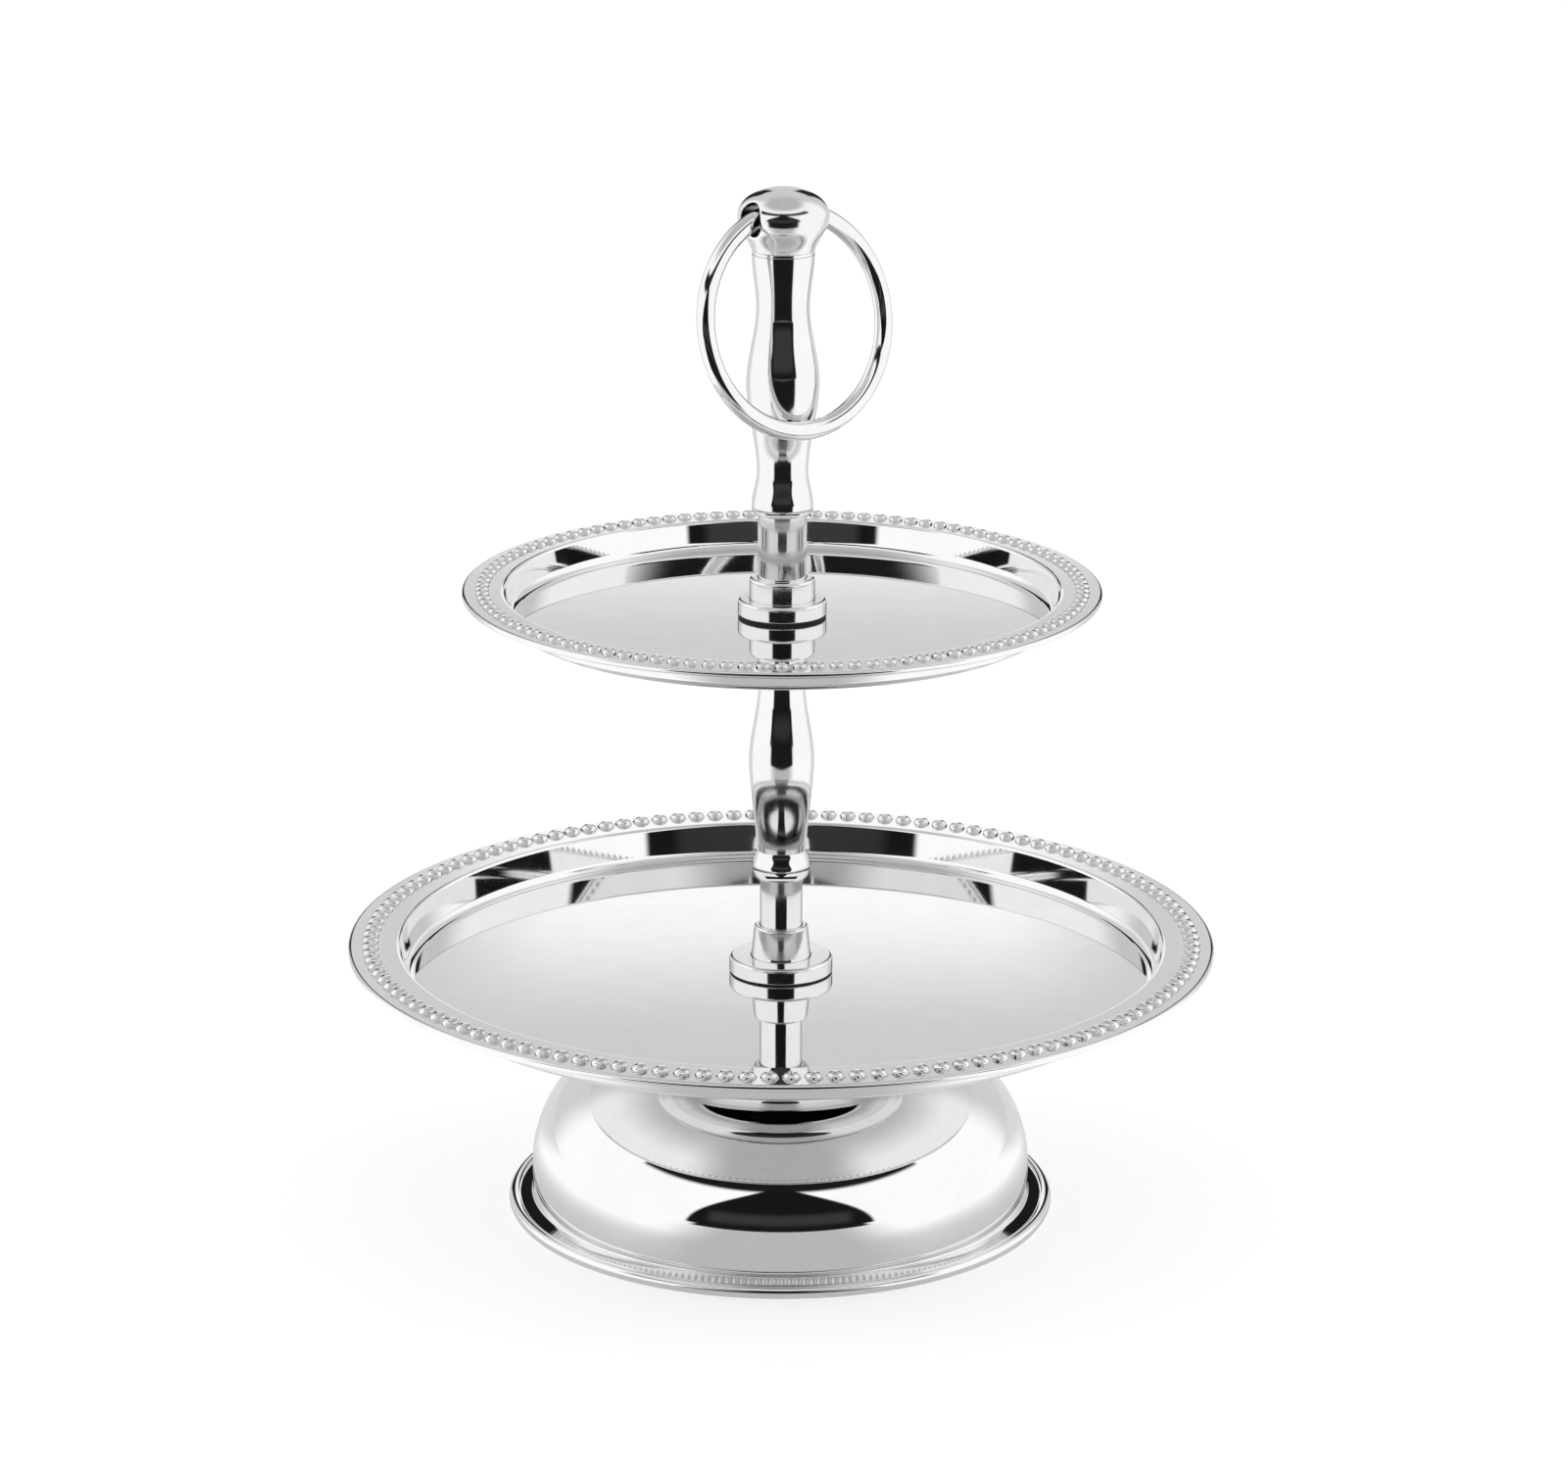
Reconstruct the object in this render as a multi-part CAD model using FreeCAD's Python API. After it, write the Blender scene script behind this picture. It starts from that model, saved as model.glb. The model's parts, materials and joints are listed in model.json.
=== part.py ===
"""Two-tier cake stand: beaded trays on a bowl foot, turned columns on tie rods, a finial and a carrying ring.

Millimetres. The origin is the centre of the foot on the floor and +Z is up. Every round piece is a closed
outline in the (radius, height) half-plane, turned about Z, and every height is stacked up from the floor.
"""

import FreeCAD, Part
import math
import os

# ---- Foot -----------------------------------------------------------------------------------------------
FOOT_RADIUS = 95.3
FOOT_HEIGHT = 82.9
FOOT_SHEET = 1.0
FOOT_BEAD_WIRE = 2.3          # radius of the rolled bead on the floor
FOOT_BEAD_FLAT = 0.8          # half the width of the flat that the bead rests on
FOOT_BEAD_MEET = 40.5         # degrees up the bead at which the flange's upper side meets it
FOOT_FLANGE_WIDTH = 8.3       # from the outer edge in to the upright wall
FOOT_FLANGE_HEIGHT = 5.0      # height of the flange where the wall rises from it
FOOT_WALL_TOP = 14.0
FOOT_SHOULDER = 43.0          # radius of the shoulder's arc
FOOT_NECK_RADIUS = 18.0
FOOT_NECK_STRAIGHT = 1.2      # upright length of the neck under the lower tray

# ---- Trays ----------------------------------------------------------------------------------------------
TRAY_SHEET = 0.8
LOWER_TRAY_RADIUS = 150.0
LOWER_RIM_WIDTH = 17.8        # from the outer edge in to the well
LOWER_WELL_DEPTH = 12.4
LOWER_WALL_LEAN = 2.4         # how much narrower the well is at its floor
LOWER_EDGE_WIRE = 1.25        # radius of the rolled outer edge
LOWER_BEAD_INSET = 7.7        # from the outer edge in to the beads' circle
LOWER_BEAD_PITCH = 7.1        # spacing along that circle, before rounding to a whole number of beads
LOWER_BEAD_WIDTH = 5.4
LOWER_BEAD_RISE = 1.2

UPPER_TRAY_RADIUS = 109.1
UPPER_RIM_WIDTH = 14.3
UPPER_WELL_DEPTH = 10.2
UPPER_WALL_LEAN = 2.0
UPPER_EDGE_WIRE = 1.1
UPPER_BEAD_INSET = 6.95
UPPER_BEAD_PITCH = 5.94
UPPER_BEAD_WIDTH = 4.4
UPPER_BEAD_RISE = 0.9

WELL_CORNER = 3.5             # radius between a well's floor and its wall
WELL_EDGE = 1.3               # radius between a well's wall and the rim
BEAD_EMBED = 0.3              # depth that a bead is sunk into the rim

# ---- Soft washers ---------------------------------------------------------------------------------------
FOOT_GASKET = 0.7
LOWER_GASKET = 0.5
SUPPORT_GASKET = 0.5
UPPER_GASKET = 1.0
GASKET_INSET = 0.15           # how far a gasket stays inside the flange that it carries

# ---- Columns --------------------------------------------------------------------------------------------
SEAT_GAP = 0.15               # radial gap round a piece that is let into another
NECK_WALL = 1.5
NECK_INSERT = 4.0             # depth that a neck enters the baluster above it

LOWER_NECK_RADIUS = 7.3
LOWER_NECK_SHOWN = 17.4       # from the socket's top to the baluster
SOCKET_WALL = 1.75            # thickness of the socket at its top
SOCKET_FLARE = 1.15           # how much wider the socket is at its foot
SOCKET_HEIGHT = 12.1
SOCKET_FLOOR = 3.0
SOCKET_LIP = 0.9              # radius of the socket's rolled top edge
SOCKET_RECESS = 1.0           # depth that the socket is let into the flange
LOWER_FLANGE_LEDGE = 7.55     # how far the flange reaches past the socket
LOWER_FLANGE_HEIGHT = 5.4
LOWER_FLANGE_EDGE = 1.3

UPPER_NECK_RADIUS = 8.28
UPPER_NECK_SHOWN = 22.2
COLLAR_WALL = 2.72
COLLAR_HEIGHT = 8.4
COLLAR_FLOOR = 3.0
COLLAR_EDGE = 1.2
COLLAR_RECESS = 1.0
UPPER_FLANGE_LEDGE = 4.0
UPPER_FLANGE_HEIGHT = 5.3
UPPER_FLANGE_EDGE = 1.3

LOWER_LIP_WALL = 0.95         # thickness of the baluster's foot round the neck
UPPER_LIP_WALL = 0.57
LOWER_LIP_HEIGHT = 4.2        # height of the lip's widest circle above the baluster's foot
UPPER_LIP_HEIGHT = 2.9
BALUSTER_FOOT_INSET = 1.6     # how far the lip rounds in at the baluster's foot
# Turned outlines above the lip: (height above the baluster's foot, radius) of each waist and swell.
LOWER_WAVES = [(10.4, 8.7), (42.4, 11.3), (69.4, 8.05), (84.4, 9.8)]
UPPER_WAVES = [(14.8, 8.78), (45.4, 12.46), (71.2, 9.11), (89.4, 10.7)]
BALUSTER_BORE = 5.9
BALUSTER_WEB = 4.0            # thickness of the solid end that the rod pulls on

SUPPORT_RADIUS = 14.0
SUPPORT_HEIGHT = 7.7
SUPPORT_EDGE = 1.3

FINIAL_BAND = 1.2             # thin ring between the baluster and the head
FINIAL_BAND_STEP = 0.12       # how far the band stays inside its neighbours
# Head outline: (height above the head's foot, radius); the second is the widest and the last is the top.
FINIAL_HEAD = [(5.6, 13.4), (12.5, 15.5), (18.6, 12.6), (21.5, 0.0)]

# ---- Carrying ring --------------------------------------------------------------------------------------
RING_WIRE = 3.15              # radius of the wire
RING_RADIUS = 36.9            # radius of the wire's centre line
RING_HOLE_GAP = 0.72          # least gap between the wire and the hole through the head
RING_HOLE_EASE = 0.5          # rounding of the hole's mouths
RING_HOLE_HEIGHT = 11.5       # the hole's centre above the head's foot
RING_AZIMUTH = 37.0           # direction of the hole, from +X towards +Y
RING_REST_GAP = 0.3           # gap left between the hanging ring and the handle

# ---- Rods, nuts and washers -----------------------------------------------------------------------------
ROD_RADIUS = 2.95
THREAD_FIT = 0.05             # radial gap between a rod and a threaded hole
ROD_CLEARANCE = 0.35          # radial gap round a rod in a plain hole
THREAD_PITCH = 1.0
THREAD_DEPTH = 0.5
THREAD_SHOWN = 6              # turns cut at the foot end of the lower rod
FOOT_NUT_FLATS = 10.0
FOOT_NUT_HEIGHT = 5.0
ROD_TAIL = 4.0                # length of rod below the foot nut
FOOT_WASHER_RADIUS = 12.0
FOOT_WASHER_SHEET = 1.6
LOCK_WASHER_RADIUS = 5.6
LOCK_WASHER_SHEET = 1.6
LOCK_WASHER_SPLIT = 1.2
COUPLING_FLATS = 10.0
COUPLING_LENGTH = 12.4
COUPLING_POCKET_GAP = 0.4     # radial gap round the coupling nut's corners
COUPLING_CROWN_GAP = 0.3      # gap between the coupling nut and the soft washer above it
ROD_MEETING_GAP = 0.6         # gap between the two rods' ends
ROD_HEAD_WEB = 1.3            # metal left between the finial's threaded hole and the ring's hole
ROD_HEAD_GAP = 0.3            # gap between the rod's end and the bottom of that threaded hole

# ---- Radii that follow ----------------------------------------------------------------------------------
FOOT_WALL_RADIUS = FOOT_RADIUS - FOOT_FLANGE_WIDTH
ROD_HOLE = ROD_RADIUS + ROD_CLEARANCE
NUT_BORE = ROD_RADIUS + THREAD_FIT

SOCKET_TOP_RADIUS = LOWER_NECK_RADIUS + SEAT_GAP + SOCKET_WALL
SOCKET_FOOT_RADIUS = SOCKET_TOP_RADIUS + SOCKET_FLARE
LOWER_FLANGE_RADIUS = SOCKET_FOOT_RADIUS + LOWER_FLANGE_LEDGE
COLLAR_RADIUS = UPPER_NECK_RADIUS + SEAT_GAP + COLLAR_WALL
UPPER_FLANGE_RADIUS = COLLAR_RADIUS + UPPER_FLANGE_LEDGE

LOWER_LIP_RADIUS = LOWER_NECK_RADIUS + SEAT_GAP + LOWER_LIP_WALL + BALUSTER_FOOT_INSET
UPPER_LIP_RADIUS = UPPER_NECK_RADIUS + SEAT_GAP + UPPER_LIP_WALL + BALUSTER_FOOT_INSET
LOWER_BALUSTER = [(LOWER_LIP_HEIGHT, LOWER_LIP_RADIUS)] + LOWER_WAVES
UPPER_BALUSTER = [(UPPER_LIP_HEIGHT, UPPER_LIP_RADIUS)] + UPPER_WAVES

# The wire's arch rises and falls by half its sag about the hinge line, over the head's greatest width.
HEAD_RADIUS = max(radius for _, radius in FINIAL_HEAD)
RING_SAG = RING_RADIUS - math.sqrt(RING_RADIUS ** 2 - HEAD_RADIUS ** 2)
RING_HOLE_RADIUS = RING_WIRE + RING_SAG / 2.0 + RING_HOLE_GAP
RING_HANG = RING_RADIUS - RING_SAG / 2.0      # from the hinge line down to the ring's centre
ROD_HEAD_DEPTH = RING_HOLE_HEIGHT - RING_HOLE_RADIUS - ROD_HEAD_WEB

# ---- Heights, stacked up from the floor -----------------------------------------------------------------
LOWER_TRAY_Z = FOOT_HEIGHT + FOOT_GASKET
LOWER_FLOOR_Z = LOWER_TRAY_Z + TRAY_SHEET
LOWER_FLANGE_Z = LOWER_FLOOR_Z + LOWER_GASKET
SOCKET_Z = LOWER_FLANGE_Z + LOWER_FLANGE_HEIGHT - SOCKET_RECESS
LOWER_NECK_Z = SOCKET_Z + SOCKET_FLOOR
LOWER_BALUSTER_Z = SOCKET_Z + SOCKET_HEIGHT + LOWER_NECK_SHOWN
SUPPORT_Z = LOWER_BALUSTER_Z + LOWER_BALUSTER[-1][0]
SUPPORT_GASKET_Z = SUPPORT_Z + SUPPORT_HEIGHT
UPPER_TRAY_Z = SUPPORT_GASKET_Z + SUPPORT_GASKET
UPPER_FLOOR_Z = UPPER_TRAY_Z + TRAY_SHEET
UPPER_FLANGE_Z = UPPER_FLOOR_Z + UPPER_GASKET
COLLAR_Z = UPPER_FLANGE_Z + UPPER_FLANGE_HEIGHT - COLLAR_RECESS
UPPER_NECK_Z = COLLAR_Z + COLLAR_FLOOR
UPPER_BALUSTER_Z = COLLAR_Z + COLLAR_HEIGHT + UPPER_NECK_SHOWN
FINIAL_BAND_Z = UPPER_BALUSTER_Z + UPPER_BALUSTER[-1][0]
FINIAL_Z = FINIAL_BAND_Z + FINIAL_BAND
RING_HINGE_Z = FINIAL_Z + RING_HOLE_HEIGHT

COUPLING_TOP_Z = SUPPORT_GASKET_Z - COUPLING_CROWN_GAP
COUPLING_Z = COUPLING_TOP_Z - COUPLING_LENGTH
ROD_MEETING_Z = COUPLING_Z + COUPLING_LENGTH / 2.0
FOOT_WASHER_Z = FOOT_HEIGHT - FOOT_SHEET - FOOT_WASHER_SHEET
LOCK_WASHER_Z = FOOT_WASHER_Z - LOCK_WASHER_SHEET
FOOT_NUT_Z = LOCK_WASHER_Z - FOOT_NUT_HEIGHT


class Outline:
    """A closed outline in the (radius, height) half-plane, drawn edge by edge and then turned about Z."""

    def __init__(self, r, z):
        self.start = FreeCAD.Vector(r, 0, z)
        self.at = self.start
        self.edges = []

    def add(self, curve, end):
        self.edges.append(curve.toShape())
        self.at = end

    def line(self, r, z):
        end = FreeCAD.Vector(r, 0, z)
        self.add(Part.LineSegment(self.at, end), end)
        return self

    def arc(self, centre_r, centre_z, to_degrees, from_degrees):
        """An arc about a centre, between two angles measured from +radius towards +height."""
        radius = math.hypot(self.at.x - centre_r, self.at.z - centre_z)
        points = []
        for degrees in ((from_degrees + to_degrees) / 2.0, to_degrees):
            angle = math.radians(degrees)
            points.append(FreeCAD.Vector(centre_r + radius * math.cos(angle), 0,
                                         centre_z + radius * math.sin(angle)))
        self.add(Part.Arc(self.at, points[0], points[1]), points[1])
        return self

    def wave(self, r, z):
        """Half a wave to the next waist or swell: it leaves and arrives upright."""
        reach = FreeCAD.Vector(0, 0, (z - self.at.z) / 3.0)
        end = FreeCAD.Vector(r, 0, z)
        curve = Part.BezierCurve()
        curve.setPoles([self.at, self.at + reach, end - reach, end])
        self.add(curve, end)
        return self

    def quarter(self, r, z, upright_first):
        """A quarter of an ellipse to a point: upright at one end and level at the other."""
        fullness = 0.5523
        end = FreeCAD.Vector(r, 0, z)
        corner = FreeCAD.Vector(self.at.x, 0, z) if upright_first else FreeCAD.Vector(r, 0, self.at.z)
        curve = Part.BezierCurve()
        leave = self.at + (corner - self.at) * fullness
        arrive = end + (corner - end) * fullness
        curve.setPoles([self.at, leave, arrive, end])
        self.add(curve, end)
        return self

    def turned(self):
        if self.at.distanceToPoint(self.start) > 1e-6:
            self.line(self.start.x, self.start.z)
        face = Part.Face(Part.Wire(self.edges))
        solid = face.revolve(FreeCAD.Vector(0, 0, 0), FreeCAD.Vector(0, 0, 1), 360)
        if solid.ShapeType != "Solid":
            solid = Part.Solid(solid)
        return solid


def turned_corners(corners):
    """Turns a polygon of (radius, height, rounding) corners, each rounded by a tangent arc unless it is 0."""
    count = len(corners)
    ends = []
    for index, (r, z, rounding) in enumerate(corners):
        here = FreeCAD.Vector(r, 0, z)
        before = FreeCAD.Vector(corners[index - 1][0], 0, corners[index - 1][1]) - here
        after = FreeCAD.Vector(corners[(index + 1) % count][0], 0, corners[(index + 1) % count][1]) - here
        before.normalize()
        after.normalize()
        if rounding == 0:
            ends.append((here, None, here))
            continue
        half = before.getAngle(after) / 2.0
        reach = rounding / math.tan(half)
        bisector = before + after
        bisector.normalize()
        middle = here + bisector * (rounding / math.sin(half) - rounding)
        ends.append((here + before * reach, middle, here + after * reach))
    edges = []
    for index, (arrive, middle, leave) in enumerate(ends):
        if middle is not None:
            edges.append(Part.Arc(arrive, middle, leave).toShape())
        following = ends[(index + 1) % count][0]
        if leave.distanceToPoint(following) > 1e-6:
            edges.append(Part.LineSegment(leave, following).toShape())
    solid = Part.Face(Part.Wire(edges)).revolve(FreeCAD.Vector(0, 0, 0), FreeCAD.Vector(0, 0, 1), 360)
    return solid if solid.ShapeType == "Solid" else Part.Solid(solid)


def washer(inner, outer, base, height, rounding=0.0):
    """A flat ring, its two outer edges rounded."""
    top = base + height
    return turned_corners([
        (inner, base, 0), (outer, base, rounding), (outer, top, rounding), (inner, top, 0)])


def hexagon_nut(flats, bore, base, height):
    """A hexagon with both ends chamfered to its flats, and a plain bore."""
    corner = flats / math.sqrt(3.0)
    points = []
    for side in range(7):
        angle = math.radians(60.0 * side)
        points.append(FreeCAD.Vector(corner * math.cos(angle), corner * math.sin(angle), base))
    prism = Part.Face(Part.makePolygon(points)).extrude(FreeCAD.Vector(0, 0, height))
    chamfer = (corner - flats / 2.0) * math.tan(math.radians(30.0))
    envelope = turned_corners([
        (bore, base, 0), (flats / 2.0, base, 0), (corner, base + chamfer, 0),
        (corner, base + height - chamfer, 0), (flats / 2.0, base + height, 0), (bore, base + height, 0)])
    return prism.common(envelope)


def foot_shell():
    """A spun bowl: neck, trumpet curve, shoulder, upright wall, flange and rolled bead, all of one sheet."""
    shoulder_r = FOOT_WALL_RADIUS - FOOT_SHOULDER
    neck_z = FOOT_HEIGHT - FOOT_NECK_STRAIGHT
    rise = neck_z - FOOT_WALL_TOP
    # The trumpet's arc ends upright on the neck and meets the shoulder's arc tangentially.
    inset = FOOT_NECK_RADIUS - shoulder_r
    trumpet = (inset ** 2 + rise ** 2 - FOOT_SHOULDER ** 2) / (2.0 * (FOOT_SHOULDER - inset))
    trumpet_r = FOOT_NECK_RADIUS + trumpet
    meet = math.degrees(math.atan2(rise, trumpet_r - shoulder_r))

    bead_r = FOOT_RADIUS - FOOT_BEAD_WIRE
    bead_z = math.sqrt(FOOT_BEAD_WIRE ** 2 - FOOT_BEAD_FLAT ** 2)
    flat_degrees = math.degrees(math.atan2(bead_z, FOOT_BEAD_FLAT))
    meet_rise = FOOT_BEAD_WIRE * math.sin(math.radians(FOOT_BEAD_MEET))
    over_r = bead_r - FOOT_BEAD_WIRE * math.cos(math.radians(FOOT_BEAD_MEET))
    under = math.degrees(math.asin((meet_rise - FOOT_SHEET) / FOOT_BEAD_WIRE))
    inner_wall = FOOT_WALL_RADIUS - FOOT_SHEET
    inner_neck = FOOT_NECK_RADIUS - FOOT_SHEET

    shell = Outline(ROD_HOLE, FOOT_HEIGHT)
    shell.line(FOOT_NECK_RADIUS, FOOT_HEIGHT).line(FOOT_NECK_RADIUS, neck_z)
    shell.arc(trumpet_r, neck_z, 180.0 + meet, 180.0)
    shell.arc(shoulder_r, FOOT_WALL_TOP, 0.0, meet)
    shell.line(FOOT_WALL_RADIUS, FOOT_FLANGE_HEIGHT).line(over_r, bead_z + meet_rise)
    shell.arc(bead_r, bead_z, -flat_degrees, 180.0 - FOOT_BEAD_MEET)
    shell.line(bead_r - FOOT_BEAD_FLAT, 0.0)
    shell.arc(bead_r, bead_z, 180.0 - under, 180.0 + flat_degrees)
    shell.line(inner_wall, FOOT_FLANGE_HEIGHT - FOOT_SHEET).line(inner_wall, FOOT_WALL_TOP)
    shell.arc(shoulder_r, FOOT_WALL_TOP, meet, 0.0)
    shell.arc(trumpet_r, neck_z, 180.0, 180.0 + meet)
    shell.line(inner_neck, FOOT_HEIGHT - FOOT_SHEET).line(ROD_HOLE, FOOT_HEIGHT - FOOT_SHEET)
    return shell.turned()


def bead(width, rise, circle, rim_z):
    """One embossed bead: a shallow ball cap standing on the rim, sunk a little into it."""
    ball = (width ** 2 / 4.0 + rise ** 2) / (2.0 * rise)
    cap = Part.makeSphere(ball, FreeCAD.Vector(circle, 0, rim_z + rise - ball))
    keep = Part.makeCylinder(width, rise + BEAD_EMBED, FreeCAD.Vector(circle, 0, rim_z - BEAD_EMBED))
    return cap.common(keep)


def tray(radius, rim_width, depth, lean, edge_wire, base, beads):
    """A sunk well in a flat rim with a rolled edge; beads is (inset, pitch, width, rise) of the bead ring."""
    well = radius - rim_width
    floor = base + TRAY_SHEET
    rim = floor + depth
    edge_r = radius - edge_wire
    edge_z = rim - edge_wire
    slope = math.hypot(lean, depth) / depth
    outside = TRAY_SHEET * slope
    drift = lean * TRAY_SHEET / depth
    sheet = turned_corners([
        (ROD_HOLE, floor, 0),
        (well - lean, floor, WELL_CORNER),
        (well, rim, WELL_EDGE),
        (edge_r, rim, 0),
        (edge_r, rim - TRAY_SHEET, 0),
        (well - drift + outside, rim - TRAY_SHEET, WELL_EDGE / 2.0),
        (well - lean - drift + outside, base, WELL_CORNER + TRAY_SHEET),
        (ROD_HOLE, base, 0)])
    roll = Part.makeTorus(edge_r, edge_wire, FreeCAD.Vector(0, 0, edge_z))
    inset, pitch, width, rise = beads
    circle = radius - inset
    count = round(2.0 * math.pi * circle / pitch)
    first = bead(width, rise, circle, rim)
    ring = []
    for index in range(count):
        copy = first.copy()
        copy.rotate(FreeCAD.Vector(0, 0, 0), FreeCAD.Vector(0, 0, 1), 360.0 * index / count)
        ring.append(copy)
    return sheet.fuse([roll] + ring)


def flange(radius, height, edge, base, recess_radius, recess_depth):
    """A turned disc with a rounded top edge and a round recess for the piece that stands on it."""
    top = base + height
    seat = recess_radius + SEAT_GAP
    return turned_corners([
        (ROD_HOLE, base, 0), (radius, base, edge / 4.0), (radius, top, edge), (seat, top, 0),
        (seat, top - recess_depth, 0), (ROD_HOLE, top - recess_depth, 0)])


def cup(foot_radius, top_radius, height, floor, lip, base, neck_radius):
    """A cup with a rounded lip that holds the foot of a neck."""
    top = base + height
    bore = neck_radius + SEAT_GAP
    return turned_corners([
        (ROD_HOLE, base, 0), (foot_radius, base, 0), (top_radius, top, lip), (bore, top, 0.0),
        (bore, base + floor, 0), (ROD_HOLE, base + floor, 0)])


def neck(radius, base, top):
    return washer(radius - NECK_WALL, radius, base, top - base)


def baluster(waves, neck_radius, base, pocket_radius=None, pocket_z=None):
    """A turned column: the neck enters its foot, and a web near its top holds the rod's pull.

    With a pocket, the web is lower down and the pocket above it holds the coupling nut.
    """
    top = base + waves[-1][0]
    socket = neck_radius + SEAT_GAP
    foot_r = waves[0][1] - BALUSTER_FOOT_INSET
    web_top = top if pocket_z is None else pocket_z
    column = Outline(socket, base).line(foot_r, base)
    column.quarter(waves[0][1], base + waves[0][0], False)
    for height, radius in waves[1:]:
        column.wave(radius, base + height)
    if pocket_z is not None:
        column.line(pocket_radius, top).line(pocket_radius, web_top)
    column.line(ROD_HOLE, web_top).line(ROD_HOLE, web_top - BALUSTER_WEB)
    column.line(BALUSTER_BORE, web_top - BALUSTER_WEB).line(BALUSTER_BORE, base + NECK_INSERT)
    column.line(socket, base + NECK_INSERT)
    return column.turned()


def baluster_radius(waves, height):
    """The turned radius at a height above the baluster's foot, between the first lip and the top."""
    for (low, low_r), (high, high_r) in zip(waves, waves[1:]):
        if low <= height <= high:
            share = (height - low) / (high - low)
            return low_r + (high_r - low_r) * share * share * (3.0 - 2.0 * share)
    return waves[0][1]


def finial_head():
    """A mushroom head with a blind hole for the rod and a cross hole for the ring, its mouths eased."""
    head = Outline(NUT_BORE, FINIAL_Z).line(UPPER_BALUSTER[-1][1], FINIAL_Z)
    shape = Part.BSplineCurve()
    points = [head.at] + [FreeCAD.Vector(radius, 0, FINIAL_Z + height) for height, radius in FINIAL_HEAD]
    shape.interpolate(
        Points=points,
        Tangents=[FreeCAD.Vector(0.35, 0, 1), FreeCAD.Vector(0.35, 0, 1), FreeCAD.Vector(0, 0, 1),
                  FreeCAD.Vector(-1, 0, 0.42), FreeCAD.Vector(-1, 0, 0)],
        TangentFlags=[True, False, True, False, True])
    head.add(shape, points[-1])
    head.line(0, FINIAL_Z + ROD_HEAD_DEPTH).line(NUT_BORE, FINIAL_Z + ROD_HEAD_DEPTH)
    direction = hinge_direction()
    reach = 2.0 * HEAD_RADIUS
    hole = Part.makeCylinder(
        RING_HOLE_RADIUS, 2.0 * reach, FreeCAD.Vector(0, 0, RING_HINGE_Z) - direction * reach, direction)
    drilled = head.turned().cut(hole)
    mouths = []
    for edge in drilled.Edges:
        along = abs((edge.BoundBox.Center - FreeCAD.Vector(0, 0, RING_HINGE_Z)).dot(direction))
        if along > RING_HOLE_RADIUS and edge.Curve.TypeId != "Part::GeomLine":
            mouths.append(edge)
    return drilled.makeFillet(RING_HOLE_EASE, mouths)


def hinge_direction():
    """The hole's direction, level, from the front left to the back right."""
    angle = math.radians(RING_AZIMUTH)
    return FreeCAD.Vector(math.cos(angle), math.sin(angle), 0)


def rest_lean():
    """The angle from upright at which the hanging ring would touch the handle, less its gap, in degrees."""
    lowest = RING_HANG + RING_RADIUS
    lean = 0.0
    for _ in range(20):
        height = RING_HINGE_Z - lowest * math.cos(lean) - UPPER_BALUSTER_Z
        offset = baluster_radius(UPPER_BALUSTER, height) + RING_WIRE + RING_REST_GAP
        lean = math.asin(offset / lowest)
    return math.degrees(lean)


def carrying_ring():
    """A plain ring of round wire, hanging through the head and leaning against the front of the handle."""
    hinge = FreeCAD.Vector(0, 0, RING_HINGE_Z)
    level = hinge_direction()
    front = FreeCAD.Vector(0, 0, 1).cross(level) * -1.0
    ring = Part.makeTorus(RING_RADIUS, RING_WIRE, hinge - FreeCAD.Vector(0, 0, RING_HANG), front)
    ring.rotate(hinge, level * -1.0, rest_lean())
    return ring


def rod(bottom, top, thread_turns):
    """A rod with chamfered ends and, at its foot, thread turns drawn as plain grooves."""
    chamfer = THREAD_DEPTH
    corners = [(0, bottom, 0), (ROD_RADIUS - chamfer, bottom, 0), (ROD_RADIUS, bottom + chamfer, 0)]
    crest = bottom + chamfer
    for _ in range(thread_turns):
        corners.append((ROD_RADIUS - THREAD_DEPTH, crest + THREAD_PITCH / 2.0, 0))
        corners.append((ROD_RADIUS, crest + THREAD_PITCH, 0))
        crest += THREAD_PITCH
    corners += [(ROD_RADIUS, top - chamfer, 0), (ROD_RADIUS - chamfer, top, 0), (0, top, 0)]
    return turned_corners(corners)


def lock_washer():
    ring = washer(ROD_HOLE, LOCK_WASHER_RADIUS, LOCK_WASHER_Z, LOCK_WASHER_SHEET)
    split = Part.makeBox(
        2.0 * LOCK_WASHER_RADIUS, LOCK_WASHER_SPLIT, 2.0 * LOCK_WASHER_SHEET,
        FreeCAD.Vector(0, -LOCK_WASHER_SPLIT / 2.0, LOCK_WASHER_Z - LOCK_WASHER_SHEET / 2.0))
    return ring.cut(split)


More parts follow.
